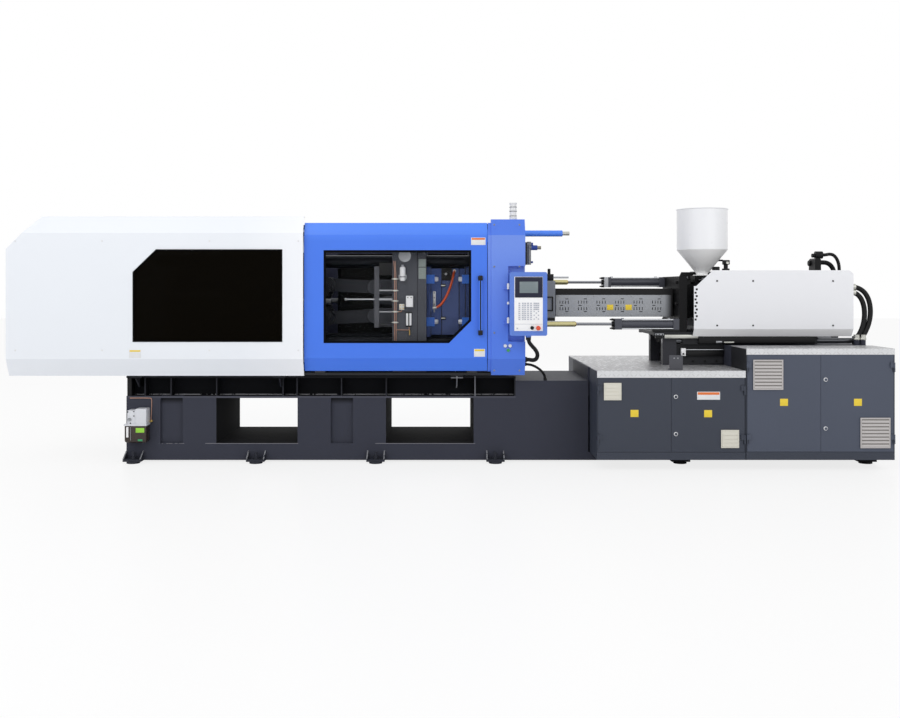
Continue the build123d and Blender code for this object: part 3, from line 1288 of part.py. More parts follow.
def barrel():
    """The barrel with its end cap, nozzle and heater bands."""
    tube = bar_x((BARREL_X[0] + 140, BARREL_X[1]), 0, AXIS_Z, BARREL)
    cap = bar_x((BARREL_X[0], BARREL_X[0] + 140), 0, AXIS_Z, BARREL + 10)
    bore = (BARREL_X[0] + 90, BARREL_X[1] + 1)
    bored = tube + cap
    bored -= bar_x(bore, 0, AXIS_Z, BARREL_BORE)
    bored -= bar_z(FEED_X, 0, (AXIS_Z, AXIS_Z + BARREL), FEED_HOLE)
    tip = Pos(NOZZLE_TIP + 20, 0, AXIS_Z) * Rot(0, 90, 0) * Cone(16.0, 35.0, 40)
    nozzle = tip + bar_x((NOZZLE_TIP + 40, BARREL_X[0]), 0, AXIS_Z, 70.0)
    nozzle += bar_x((BARREL_X[0] - 60, BARREL_X[0]), 0, AXIS_Z, 110.0)
    nozzle -= bar_x((NOZZLE_TIP - 1, BARREL_X[0] + 1), 0, AXIS_Z, 14.0)
    bored -= bar_x((BARREL_X[0] - 1, bore[0] + 1), 0, AXIS_Z, 14.0)
    bands = []
    places = [BARREL_X[0] + 170 + index * BAND_PITCH for index in range(2)]
    places += [COVER_X[0] + 24 + index * BAND_PITCH for index in range(6)]
    for left in places:
        band = bar_x((left, left + BAND_WIDTH), 0, AXIS_Z, HEATER_BAND)
        band -= bar_x((left - 1, left + BAND_WIDTH + 1), 0, AXIS_Z, BARREL)
        top = AXIS_Z + HEATER_BAND / 2
        band += block((left + 40, left + 110), (-18, 18), (top - 6, top + 14))
        bands.append(band)
    return group([bored, nozzle] + bands)


def barrel_cover():
    """A sheet cover round the heated barrel, closed at its ends."""
    y = (-COVER_HALF_WIDTH, COVER_HALF_WIDTH)
    body = block(COVER_X, y, COVER_Z)
    inner = block(
        (COVER_X[0] + SHEET, COVER_X[1] - SHEET),
        (y[0] + SHEET, y[1] - SHEET),
        (COVER_Z[0] + SHEET, COVER_Z[1] - SHEET),
    )
    body -= inner
    body -= bar_x((COVER_X[0] - 1, COVER_X[1] + 1), 0, AXIS_Z, BARREL + 2 * RUNNING_GAP)
    return body - cover_slots()


def cover_slots():
    """Groups of short upright and level slots that cool the heated barrel."""
    width, length = SLOT
    y = (-COVER_HALF_WIDTH - 1, COVER_HALF_WIDTH + 1)
    upright = [(dx, z) for dx in (-43, -14, 14, 43) for z in (AXIS_Z - 76, AXIS_Z - 8)]
    level = [(28, AXIS_Z + 26), (-28, AXIS_Z - 42), (28, AXIS_Z - 106)]
    slots = []
    for group_x in SLOT_GROUPS:
        for dx, z in upright:
            x = group_x + dx
            slots.append(block((x - width / 2, x + width / 2), y, (z - length / 2, z + length / 2)))
        for dx, z in level:
            x = group_x + dx
            slots.append(block((x - length / 2, x + length / 2), y, (z - width / 2, z + width / 2)))
    return group(slots)


def purge_guard():
    """A hood over the nozzle end that slides on two rods."""
    y = (-PURGE_HALF_WIDTH, PURGE_HALF_WIDTH)
    line = [(y[0], PURGE_Z[0]), (y[0], PURGE_Z[1]), (y[1], PURGE_Z[1]), (y[1], PURGE_Z[0])]
    hood = plate_yz(sheet_outline(line, -SHEET), PURGE)
    top = block((PURGE[0] + 20, PURGE[1] - 20), (-100, 100), (PURGE_Z[1], PURGE_BLOCK_TOP))
    for sign in (-1, 1):
        bore = (PURGE[0] - 1, PURGE[1] + 1)
        top -= bar_x(bore, sign * PURGE_ROD_Y, PURGE_ROD_Z, PURGE_ROD + 2 * RUNNING_GAP)
    handle_x = PURGE[1] - 60
    grip = block((handle_x - 10, handle_x + 10), (y[0] - 50, y[0] - 34), (1530, 1670))
    for z in (1530, 1654):
        grip += block((handle_x - 10, handle_x + 10), (y[0] - 50, y[0]), (z, z + 16))
    return joined(hood, top, grip)


def carriage_cylinders():
    """The two cylinders that pull the nozzle on to the mould, with their tie rods."""
    pieces = []
    for y, z in PULL_CYLINDERS:
        tube = bar_x((PULL_FLANGE[0], FRONT_PLATE[0]), y, z, PULL_TUBE)
        tube += block(PULL_FLANGE, (y - 55, y + 55), (z - 55, z + 55))
        tube += block((FRONT_PLATE[0] - 60, FRONT_PLATE[0]), (y - 55, y + 55), (z - 55, z + 55))
        tube -= bar_x((PULL_FLANGE[1], FRONT_PLATE[0] - 20), y, z, PULL_BORE)
        tube -= bar_x((PULL_FLANGE[0] - 1, PULL_FLANGE[1] + 1), y, z, PULL_ROD + 2 * PIN_CLEARANCE)
        for dy in (-45, 45):
            for dz in (-45, 45):
                tube += bar_x((PULL_FLANGE[0] - 18, FRONT_PLATE[0]), y + dy, z + dz, 14.0)
        pieces.append(tube)
    return group(pieces)


def injection_housing():
    """Front and rear plates joined by the feed block, with the two injection cylinders behind."""
    half = HOUSING_HALF_WIDTH
    z = (CARRIAGE_TOP, HOUSING_TOP)
    body = block(FRONT_PLATE, (-half, half), z)
    body += block(REAR_PLATE, (-half, half), z)
    body += block((FRONT_PLATE[1] - 1, REAR_PLATE[0] + 1), (-170, 170), (AXIS_Z - 170, THROAT_Z[0]))
    body -= bar_x((FRONT_PLATE[0] - 1, REAR_PLATE[1] + 1), 0, AXIS_Z, BARREL)
    body -= bar_z(FEED_X, 0, (AXIS_Z, THROAT_Z[0] + 1), FEED_HOLE)
    for sign in (-1, 1):
        y = sign * DRIVE_Y
        tube = bar_x(DRIVE_X, y, AXIS_Z, DRIVE_CYLINDER)
        tube += block((DRIVE_X[1] - 60, DRIVE_X[1]), (y - 80, y + 80), (AXIS_Z - 80, AXIS_Z + 80))
        tube -= bar_x((DRIVE_X[0] + 30, DRIVE_X[1] - 40), y, AXIS_Z, DRIVE_BORE)
        tube -= bar_x((DRIVE_X[1] - 50, DRIVE_X[1] + 1), y, AXIS_Z, DRIVE_ROD + 2 * PIN_CLEARANCE)
        body += tube
    return body


def injection_plate():
    """The thrust plate with its two piston rods and the hydraulic motor that turns the screw."""
    plate = block(DRIVE_PLATE, (-HOUSING_HALF_WIDTH, HOUSING_HALF_WIDTH), (AXIS_Z - 200, AXIS_Z + 200))
    plate = fillet(plate.edges().filter_by(Axis.X), 60)
    for sign in (-1, 1):
        y = sign * DRIVE_Y
        plate += bar_x((DRIVE_X[0] + 60, DRIVE_PLATE[0]), y, AXIS_Z, DRIVE_ROD)
        plate += bar_x((DRIVE_X[0] + 40, DRIVE_X[0] + 80), y, AXIS_Z, DRIVE_BORE - 0.6)
    motor = bar_x((DRIVE_PLATE[1], DRIVE_PLATE[1] + 60), 0, AXIS_Z, MOTOR + 60)
    motor += bar_x((DRIVE_PLATE[1] + 60, MOTOR_RIGHT), 0, AXIS_Z, MOTOR)
    plate += motor
    plate -= bar_x((DRIVE_PLATE[0] - 1, DRIVE_PLATE[1] + 101), 0, AXIS_Z, SCREW + 12.6)
    shoe_x = (DRIVE_PLATE[0] + 20, DRIVE_PLATE[1] - 20)
    shoes = both_sides(block(shoe_x, (200, 300), (CARRIAGE_TOP + RUNNING_GAP, AXIS_Z - 190)))
    return joined(plate, *shoes)


def drive_manifold():
    """The block behind the hydraulic motor, with the post and fittings of its hose loops."""
    y = (-115, 60)
    base = block((MOTOR_RIGHT, MANIFOLD_RIGHT), y, MANIFOLD_Z)
    post = block((MANIFOLD_RIGHT - MANIFOLD_POST, MANIFOLD_RIGHT), y, (MANIFOLD_Z[1] - 1, MANIFOLD_TOP))
    post = chamfer(post.edges().group_by(Axis.Z)[-1].filter_by(Axis.Y), 14)
    pieces = [post]
    for middle, diameter, collar, route in LOOPS:
        z = route[0][1]
        pieces.append(bar_x(HOSE_FITTINGS, middle, z, collar))
        pieces.append(bar_x((HOSE_FITTINGS[0] - 34, HOSE_FITTINGS[0] + 1), middle, z - 6, diameter + 8))
    return joined(base, *pieces)


def drive_hoses():
    """Two hoses that loop from the manifold's fittings back to its base."""
    hoses = []
    for middle, diameter, collar, route in LOOPS:
        hoses.append(hose([(x, middle, z) for x, z in route], diameter))
    return hoses


def platen_valve():
    """A shut-off valve that stands on a bracket of the fixed platen, with its side fitting."""
    low, high = VALVE_Z
    side = (VALVE_Y - 32, VALVE_Y + 32)
    back = VALVE_X - VALVE / 2
    right = VALVE_X + 40
    body = bar_z(VALVE_X, VALVE_Y, VALVE_Z, VALVE)
    body += block((back - 18, back + 4), side, (low, high - 6))
    body += block((back - 1, back + VALVE), (VALVE_Y - 26, VALVE_Y + 26), (high - 36, high - 8))
    body += block((VALVE_X, right), (VALVE_Y - 16, VALVE_Y + 16), (high - 38, high - 10))
    body += bar_x((VALVE_X, right), VALVE_Y, low + 26, 20)
    body += bar_x((VALVE_X, VALVE_X + 83), VALVE_Y, high - 60, 50)
    body += bar_x((VALVE_X + 83, VALVE_X + 120), VALVE_Y, high - 60, 34)
    return body + block((FIXED_PLATEN[1], back - 17), side, (low + 70, high - 70))


def screw():
    """The plasticising screw: check ring and tip, tapered root, and the shank in the motor."""
    left = BARREL_X[0] + 96
    flight_left = left + 180
    flight_right = FEED_X + 110
    tip = Pos(left + 45, 0, AXIS_Z) * Rot(0, 90, 0) * Cone(8.0, 38.0, 90)
    body = tip + bar_x((left + 90, left + 130), 0, AXIS_Z, SCREW)
    body += bar_x((left + 130, flight_left), 0, AXIS_Z, 56.0)
    metering = bar_x((flight_left, flight_left + 500), 0, AXIS_Z, 74.0)
    taper_length = 500.0
    taper = Pos(flight_left + 500 + taper_length / 2, 0, AXIS_Z) * Rot(0, 90, 0) * Cone(37.0, 30.0, taper_length)
    feed = bar_x((flight_left + 500 + taper_length, flight_right), 0, AXIS_Z, 60.0)
    body = joined(body, metering, taper, feed)
    body += bar_x((flight_right, DRIVE_PLATE[0]), 0, AXIS_Z, SCREW)
    body += bar_x((DRIVE_PLATE[0], DRIVE_PLATE[1] + 100), 0, AXIS_Z, SCREW + 12.6 - 2 * RUNNING_GAP)
    pitch = SCREW
    turns = int((flight_right - flight_left) / pitch)
    for turn in range(turns):
        x = flight_left + (turn + 0.5) * pitch
        body += bar_x((x - 6, x + 6), 0, AXIS_Z, SCREW)
    return body


def injection_guard():
    """The white guards along both sides of the injection unit."""
    line = [
        (-SHROUD_EDGE_Y + 40, SHROUD_BOTTOM), (-SHROUD_EDGE_Y, SHROUD_BOTTOM), (-SHROUD_Y, SHROUD_FOLD),
        (-SHROUD_Y, SHROUD_TOP - 12), (-SHROUD_Y + 12, SHROUD_TOP), (-SHROUD_Y + 60, SHROUD_TOP),
    ]
    sheet = plate_yz(sheet_outline(line, -SHEET), SHROUD)
    left_cut = [
        (SHROUD[0] - 1, SHROUD_TOP - 161), (SHROUD[0] + 23, SHROUD_TOP - 161), (SHROUD[0] + 181, SHROUD_TOP - 12),
        (SHROUD[0] + 181, SHROUD_TOP + 1), (SHROUD[0] - 1, SHROUD_TOP + 1),
    ]
    right_cut = [
        (SHROUD[1] + 1, SHROUD_TOP - 40), (SHROUD[1] + 1, SHROUD_TOP + 1), (SHROUD[1] - 40, SHROUD_TOP + 1),
    ]
    sheet -= plate_xz(left_cut, (-SHROUD_Y - 1, 0))
    sheet -= plate_xz(right_cut, (-SHROUD_Y - 1, 0))
    rear = mirror(sheet, about=Plane.XZ)
    end, upper = HOSE_ROUTES[0][0]
    lower = HOSE_ROUTES[1][0][1]
    sheet += block((end - 50, end), (-SHROUD_Y + SHEET, HOSE_Y + 45), (lower - 40, upper + 40))
    return group([sheet, rear])


def quarter_shells(profile):
    """A sheet rolled to an outline of (radius, z) points, in four panels with diagonal seams."""
    face = make_face(Plane.XZ * Polyline(*profile, close=True))
    panel = Rot(0, 0, -45) * revolve(face, Axis.Z, 90)
    return [Pos(FEED_X, 0, 0) * Rot(0, 0, 90 * turn) * panel for turn in range(4)]


def hopper():
    """The open bin, its cone and the ring that bolts it on to the throat, rolled from panels."""
    radius = HOPPER / 2
    inner = radius - HOPPER_WALL
    neck = HOPPER_NECK / 2
    bottom = THROAT_Z[1]
    flange_top = bottom + 20
    bin_line = [
        (radius, HOPPER_SHOULDER), (radius, HOPPER_TOP - 12), (radius + 8, HOPPER_TOP - 6),
        (radius, HOPPER_TOP), (inner, HOPPER_TOP), (inner, HOPPER_SHOULDER),
    ]
    cone_line = [
        (neck + HOPPER_WALL, flange_top), (radius, HOPPER_SHOULDER), (inner, HOPPER_SHOULDER),
        (neck, flange_top),
    ]
    flange_line = [
        (neck, bottom), (neck + 40, bottom), (neck + 40, bottom + 10), (neck + HOPPER_WALL, bottom + 10),
        (neck + HOPPER_WALL, flange_top), (neck, flange_top),
    ]
    panels = []
    for line in (bin_line, cone_line, flange_line):
        panels += quarter_shells(line)
    return group(panels)


def hopper_throat():
    """The block under the hopper with the slot that its gate slides in."""
    half = 100.0
    body = block((FEED_X - half, FEED_X + half), (-half, half), THROAT_Z)
    body -= bar_z(FEED_X, 0, (THROAT_Z[0] - 1, THROAT_Z[1] + 1), FEED_HOLE)
    gap = GATE_SHEET / 2 + RUNNING_GAP
    body -= block((FEED_X - 65, FEED_X + 65), (-half - 1, half + 1), (GATE_Z - gap, GATE_Z + gap))
    return body


def hopper_gate():
    """The sliding shut-off plate with its hole and handle."""
    y = (-130.0, 220.0)
    x = (FEED_X - 64, FEED_X + 64)
    gate = block(x, y, (GATE_Z - GATE_SHEET / 2, GATE_Z + GATE_SHEET / 2))
    gate -= bar_z(FEED_X, 0, (GATE_Z - 20, GATE_Z + 20), FEED_HOLE)
    gate += block((FEED_X - 40, FEED_X + 40), (y[0] - 14, y[0]), (GATE_Z - 20, GATE_Z + 20))
    return gate


# Hoses, conduits and lubrication

def hose(points, diameter):
    """A hose along a route, with arcs as large as its runs allow."""
    radii = []
    for before, corner, after in zip(points, points[1:], points[2:]):
        first = Vector(*corner) - Vector(*before)
        second = Vector(*after) - Vector(*corner)
        turn = math.radians(first.get_angle(second))
        radii.append(0.45 * min(first.length, second.length) / math.tan(turn / 2))
    path = FilletPolyline(*points, radius=radii)
    print("bend radii", [round(radius) for radius in radii])
    section = Plane(origin=path @ 0, z_dir=path % 0) * Circle(diameter / 2)
    return sweep(section, path=path)


def hose_sockets():
    """Where the hoses of the injection drive land on the bed."""
    return [(route[-1][0], HOSE_Y, route[-1][1]) for route in HOSE_ROUTES]


def hydraulic_hoses():
    pieces = []
    for route in HOSE_ROUTES:
        pieces.append(hose([(x, HOSE_Y, z) for x, z in route], HOSE))
    return group(pieces)


def panel_conduit_points():
    """From the gland under the operator panel to the side of the platen cover."""
    route = [
        (817.0, -90.0, 1262.0), (817.0, -90.0, 1222.0), (846.0, -89.0, 1182.0), (886.0, -82.0, 1142.0),
        (912.0, -66.0, 1092.0), (900.0, -38.0, 1044.0), (868.0, 4.0, 1030.0), (832.0, 40.0, 1036.0),
        (COVER[1], 40.0, 1036.0),
    ]
    return [(x, y - COVER_Y, z) for x, y, z in route]


def bed_conduit_points():
    """From the side of the platen cover down to the bed."""
    return [
        (COVER[1], -COVER_Y + 100, 985.0), (836.0, -COVER_Y + 100, 985.0), (892.0, -672.0, 968.0),
        (948.0, -652.0, 934.0),
        (990.0, -618.0, 890.0), (1010.0, -575.0, 850.0), (1010.0, -575.0, 814.0),
    ]


def panel_conduits():
    return group([hose(panel_conduit_points(), 40.0), hose(bed_conduit_points(), 26.0)])


def mould_hoses():
    """From the manifold beside the mould to a port high on the mould's face."""
    route = [
        (-118.0, -438.0, 1540.0), (-78.0, -438.0, 1540.0), (-30.0, -446.0, 1572.0), (22.0, -446.0, 1652.0),
        (62.0, -438.0, 1748.0), (84.0, -428.0, 1826.0), (98.0, -404.0, 1890.0), (106.0, -362.0, 1915.0),
        (106.0, -320.0, 1915.0),
    ]
    return hose(route, 24.0)


def lubrication_pump():
    """The central lubrication pump on the end of the bed, with its reservoir below the motor head."""
    y = (-BED_HALF_WIDTH - 130, -BED_HALF_WIDTH)
    body = block((-3170.0, -2985.0), y, (380.0, 532.0))
    body += block((-3160.0, -3000.0), (y[0] + 10, y[1]), (360.0, 380.0))
    reservoir = block((-3165.0, -2990.0), (y[0] + 5, y[1] - 3), (200.0, 360.0))
    reservoir = fillet(reservoir.edges().filter_by(Axis.Z), 20)
    return group([body, reservoir])


# Export

def carriage_nodes():
    return {
        "carriage_base": carriage_base(),
        "barrel": barrel(),
        "barrel_cover": barrel_cover(),
        "carriage_cylinders": carriage_cylinders(),
        "injection_housing": group([injection_housing(), hopper_throat()]),
        "injection_guard": injection_guard(),
        "hopper": hopper(),
        "hydraulic_hoses": hydraulic_hoses(),
        "hopper_gate": hopper_gate(),
        "injection_plate": group([injection_plate(), drive_manifold()] + drive_hoses()),
        "screw": screw(),
    }


def toggle_nodes():
    rear, front, cross = rear_link(), front_link(), cross_link()
    return {
        "rear_link_upper": rear,
        "rear_link_lower": upside_down(rear),
        "front_link_upper": front,
        "front_link_lower": upside_down(front),
        "cross_link_upper": cross,
        "cross_link_lower": upside_down(cross),
        "crosshead": crosshead(),
    }


def clamp_nodes():
    return {
        "clamp_bed": clamp_bed(),
        "fixed_platen": group([fixed_platen(), platen_valve()]),
        "tie_bars": tie_bars(),
        "tail_platen": tail_platen(),
        "clamp_cylinder": clamp_cylinder(),
        "die_height_nuts": die_height_nuts(),
        "moving_platen": moving_platen(),
        "mould_fixed_half": mould_fixed_half(),
        "mould_moving_half": mould_moving_half(),
        "ejector_plate": ejector_plate(),
        "safety_bar": safety_bar(),
        "safety_bar_tube": safety_bar_tube(),
        "mould_hoses": mould_hoses(),
    }


def cover_nodes():
    door = safety_door()
    pane = door_window()
    nodes = {
        "guard_frame": guard_frame(),
        "clamp_guards": clamp_guards(),
        "guard_windows": guard_windows(),
        "platen_covers": platen_covers(),
        "signal_tower": signal_tower(),
        "safety_door_front": door,
        "safety_door_rear": mirror(door, about=Plane.XZ),
        "door_window_front": pane,
        "door_window_rear": mirror(pane, about=Plane.XZ),
        "control_panel": control_panel(),
        "panel_conduits": panel_conduits(),
        "emergency_stop": emergency_stop(),
        "selector_knob": selector_knob(),
        "purge_guard": purge_guard(),
    }
    for name, place in BUTTON_PLACES.items():
        nodes[name] = push_button(place)
    return nodes


def base_nodes():
    nodes = {
        "injection_bed": injection_bed(),
        "levelling_feet": levelling_feet(),
        "front_cabinets": front_cabinets(),
        "rear_cabinets": rear_cabinets(),
        "deck_plates": deck_plates(),
        "pump_motor": pump_motor(),
        "carriage_guides": carriage_guides(),
        "lubrication_pump": lubrication_pump(),
    }
    nodes.update(cabinet_doors())
    return nodes


def build():
    nodes = {}
    for part in (base_nodes, clamp_nodes, toggle_nodes, cover_nodes, carriage_nodes):
        nodes.update(part())
    return nodes


if __name__ == "__main__":
    os.makedirs("parts", exist_ok=True)
    for name, shape in build().items():
        export_step(shape, f"parts/{name}.step")
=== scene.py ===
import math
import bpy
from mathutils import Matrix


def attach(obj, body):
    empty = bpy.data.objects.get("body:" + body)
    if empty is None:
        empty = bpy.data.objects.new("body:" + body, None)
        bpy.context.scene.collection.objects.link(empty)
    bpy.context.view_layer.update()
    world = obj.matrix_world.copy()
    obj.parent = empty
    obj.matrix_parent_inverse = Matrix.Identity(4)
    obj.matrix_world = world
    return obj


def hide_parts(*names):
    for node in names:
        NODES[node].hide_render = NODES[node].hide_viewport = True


bl_info = {
    "name": "Injection Moulding Machine",
    "version": (1, 0, 0),
    "blender": (4, 5, 0),
    "location": "View3D > Sidebar > Machine",
    "description": "Finishes, fittings and a studio for an injection moulding machine",
    "category": "Object",
}

import bmesh
import bpy
from mathutils import Matrix, Vector

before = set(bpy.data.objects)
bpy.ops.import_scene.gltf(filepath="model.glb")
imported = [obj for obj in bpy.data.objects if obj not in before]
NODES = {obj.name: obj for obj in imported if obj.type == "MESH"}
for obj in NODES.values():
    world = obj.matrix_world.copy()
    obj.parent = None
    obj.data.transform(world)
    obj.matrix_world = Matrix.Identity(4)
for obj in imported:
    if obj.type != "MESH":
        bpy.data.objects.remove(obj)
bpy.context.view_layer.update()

# The plain materials that come with the frame make room for the finishes below
for plain in list(bpy.data.materials):
    bpy.data.materials.remove(plain)


def srgb(red, green, blue):
    """A colour on a 0 to 255 screen scale as the linear colour that shaders take."""
    channels = []
    for value in (red, green, blue):
        value /= 255
        channels.append(value / 12.92 if value <= 0.04045 else ((value + 0.055) / 1.055) ** 2.4)
    return (*channels, 1.0)


# Sizes and colours that a user would change

def colour_property(name, about, default):
    return bpy.props.FloatVectorProperty(
        name=name, description=about, subtype="COLOR", size=4, min=0, max=1, default=default
    )


def length_property(name, about, default):
    return bpy.props.FloatProperty(name=name, description=about, unit="LENGTH", min=0.0001, default=default)


class MachineColours(bpy.types.PropertyGroup):
    """Paint and plastic colours of the machine."""

    guard: colour_property("Guard", "White of the clamp guard and the injection guard", srgb(236, 240, 246))
    door: colour_property("Door", "Blue of the safety doors and the platen covers", srgb(60, 119, 236))
    bed: colour_property("Bed", "Dark grey of the beds and their frames", srgb(59, 61, 72))
    cabinet: colour_property("Cabinet", "Grey of the cabinets and their doors", srgb(57, 62, 74))
    platen: colour_property("Platen", "Dark grey of the platens", srgb(70, 72, 79))
    mould: colour_property("Mould", "Navy of the mould", srgb(62, 75, 116))
    vent: colour_property("Vent", "Cream of the cabinet vents", srgb(218, 215, 203))
    hopper: colour_property("Hopper", "Pale grey of the hopper", srgb(246, 247, 250))


class MachineDetails(bpy.types.PropertyGroup):
    """Sizes of the fittings that dress the machine."""

    gasket: length_property("Gasket width", "Width of the rubber strip round each window", 0.016)
    slat_pitch: length_property("Slat pitch", "Distance between the slats of a vent", 0.034)
    key_size: length_property("Key size", "Side of one key of the operator panel", 0.017)
    bolt: length_property("Bolt size", "Width across a bolt head on the platens", 0.036)
    rim: length_property("Edge rounding", "Rounding of the edges of small fittings", 0.002)


class MachineStage(bpy.types.PropertyGroup):
    """The studio round the machine."""

    distance: length_property("Camera distance", "From the machine's middle plane to the camera", 10.54)
    height: length_property("Camera height", "Of the camera above the floor", 1.75)
    lens: bpy.props.FloatProperty(
        name="Lens", description="Focal length in millimetres", unit="CAMERA", min=10, default=39.8
    )
    world: bpy.props.FloatProperty(name="World light", description="Strength of the even light", min=0, default=0.7)
    lamp: bpy.props.FloatProperty(name="Lamp", description="Power of the main lamp", unit="POWER", min=0, default=360)


# Shader nodes

class Wire:
    """An output of a material's nodes. Arithmetic on it adds Math nodes."""

    def __init__(self, finish, socket):
        self.finish = finish
        self.socket = socket

    def maths(self, operation, *values):
        inputs = dict(enumerate(values))
        return self.finish.node("ShaderNodeMath", {"operation": operation}, inputs)

    def __add__(self, other):
        return self.maths("ADD", self, other)

    def __sub__(self, other):
        return self.maths("SUBTRACT", self, other)

    def __rsub__(self, other):
        return self.maths("SUBTRACT", other, self)

    def __mul__(self, other):
        return self.maths("MULTIPLY", self, other)

    def __truediv__(self, other):
        return self.maths("DIVIDE", self, other)

    def __pow__(self, other):
        return self.maths("POWER", self, other)

    def __gt__(self, other):
        return self.maths("GREATER_THAN", self, other)

    def __lt__(self, other):
        return self.maths("LESS_THAN", self, other)

    def __abs__(self):
        return self.maths("ABSOLUTE", self)

    __radd__ = __add__
    __rmul__ = __mul__

    def floor(self):
        return self.maths("FLOOR", self)

    def fraction(self):
        return self.maths("FRACT", self)

    def sine(self):
        return self.maths("SINE", self)

    def clamped(self):
        return self.finish.node("ShaderNodeClamp", {}, {0: self})


class Finish:
    """A material built up from nodes around one Principled shader."""

    def __init__(self, name, **fixed):
        self.material = bpy.data.materials.new(name)
        self.material.use_nodes = True
        self.tree = self.material.node_tree
        self.shader = self.tree.nodes["Principled BSDF"]
        for socket, value in fixed.items():
            self.shader.inputs[socket.replace("_", " ")].default_value = value
        self.coordinates = self.node("ShaderNodeTexCoord", {}, {}, "Object")
        self.x, self.y, self.z = (
            self.node("ShaderNodeSeparateXYZ", {}, {0: self.coordinates}, axis) for axis in range(3)
        )

    def node(self, kind, settings, inputs, output=0):
        """Adds a node: its settings first, then the values or wires of its inputs."""
        made = self.tree.nodes.new(kind)
        for name, value in settings.items():
            if name == "stops":
                ramp = made.color_ramp.elements
                while len(ramp) < len(value):
                    ramp.new(0.5)
                for stop, (place, colour) in zip(ramp, value):
                    stop.position = place
                    stop.color = colour
            else:
                setattr(made, name, value)
        for name, value in inputs.items():
            if isinstance(value, Wire):
                self.tree.links.new(value.socket, made.inputs[name])
            else:
                made.inputs[name].default_value = value
        return Wire(self, made.outputs[output])

    def noise(self, scale, detail=2.0, roughness=0.5, stretch=None):
        place = self.coordinates
        if stretch:
            place = self.node("ShaderNodeMapping", {}, {"Vector": place, "Scale": stretch})
        inputs = {"Vector": place, "Scale": scale, "Detail": detail, "Roughness": roughness}
        return self.node("ShaderNodeTexNoise", {}, inputs, "Fac")

    def mix(self, mask, first, second):
        """A colour between two, by a mask."""
        return self.node("ShaderNodeMix", {"data_type": "RGBA"}, {0: mask, 6: first, 7: second}, 2)

    def inside(self, x=None, y=None, z=None):
        """1 inside the range given on each axis, and 0 outside it."""
        mask = None
        for value, span in ((self.x, x), (self.y, y), (self.z, z)):
            if span is not None:
                part = (value > span[0]) * (value < span[1])
                mask = part if mask is None else mask * part
        return mask

    def near(self, across, up, centre, radius):
        """1 inside a circle about a line, given its two coordinates, and 0 outside it."""
        reach = (across - centre[0]) ** 2 + (up - centre[1]) ** 2
        return reach < radius**2

    def feed(self, socket, wire):
        self.tree.links.new(wire.socket, self.shader.inputs[socket])

    def toned(self, tone, colour, spread):
        """A colour made darker and lighter by a mask."""
        return self.mix(tone, shade(colour, 1 - spread), shade(colour, 1 + spread))

    def bump(self, height, distance):
        inputs = {"Height": height, "Distance": distance}
        self.feed("Normal", self.node("ShaderNodeBump", {}, inputs, "Normal"))


def shade(colour, factor):
    """A colour made lighter or darker."""
    return (*(min(1.0, channel * factor) for channel in colour[:3]), 1.0)


def zone(mask_of, colour, roughness, metallic=0.0):
    """Another colour, roughness and metallic share where a function of the finish gives 1."""
    return mask_of, srgb(*colour), roughness, metallic


def box_zone(colour, roughness, metallic=0.0, **spans):
    """A zone inside a range on each axis given."""
    return zone(lambda f: f.inside(**spans), colour, roughness, metallic)


def cover(finish, tint, rough, share, zones):
    """Feeds a colour, a roughness and a metallic share, with those of each zone inside its mask."""
    for mask_of, other, gloss, metallic in zones:
        mask = mask_of(finish)
        tint = finish.mix(mask, tint, other)
        rough = rough + mask * (gloss - rough)
        share = share + mask * (metallic - share)
    finish.feed("Base Color", tint)
    finish.feed("Roughness", rough.clamped())
    if zones:
        finish.feed("Metallic", share.clamped())


# Surface of each kind of paint: the scale of its grain, and its depth in metres
SHEET_SKIN = (260.0, 0.00006)
BED_SKIN = (160.0, 0.00018)
COVER_SKIN = (160.0, 0.0001)
CABINET_SKIN = (420.0, 0.00014)
CAST_SKIN = (90.0, 0.0001)
FRAME_SKIN = (120.0, 0.0001)
VENT_SKIN = (300.0, 0.00005)


def paint(name, colour, roughness, skin, spread=0.05, coat=0.0, zones=(), shine=0.5):
    """Sprayed paint with its fine surface texture."""
    finish = Finish(name, Coat_Weight=coat, Coat_Roughness=0.12, Specular_IOR_Level=shine)
    tint = finish.toned(finish.noise(1.7, 3.0), colour, spread)
    rough = roughness + (finish.noise(22.0, 4.0, 0.65) - 0.5) * 0.16
    cover(finish, tint, rough, 0.0, zones)
    grain, depth = skin
    finish.bump(finish.noise(grain, 2.0), depth)


def metal(name, colour, roughness, lines=(1.0, 1.0, 1.0), spread=0.08, zones=()):
    """Machined or polished metal; lines is the stretch of its tool marks along each axis."""
    finish = Finish(name, Metallic=1.0)
    marks = finish.noise(60.0, 3.0, 0.6, lines)
    rough = roughness + (marks - 0.5) * roughness * 0.6
    cover(finish, finish.toned(marks, colour, spread), rough, 1.0, zones)
    finish.bump(marks, 0.00002)


def plastic(name, colour, roughness, grain=900.0, depth=0.00006, coat=0.0, shine=0.5):
    """Moulded plastic or rubber with a fine grain."""
    finish = Finish(name, Coat_Weight=coat, Specular_IOR_Level=shine)
    tone = finish.noise(14.0, 3.0)
    cover(finish, finish.toned(tone, colour, 0.07), roughness + (tone - 0.5) * 0.12, 0.0, ())
    finish.bump(finish.noise(grain, 1.0), depth)


def pane(name, colour, alpha, roughness, shine):
    """A clear or dark sheet of plastic glazing with faint wipe marks."""
    finish = Finish(name, IOR=1.49, Specular_IOR_Level=shine)
    smear = finish.noise(5.0, 5.0, 0.6, (1.0, 1.0, 2.5))
    cover(finish, finish.toned(smear, colour, 0.15), roughness + (smear - 0.5) * 0.08, 0.0, ())
    finish.feed("Alpha", (alpha + (smear - 0.5) * 0.02).clamped())


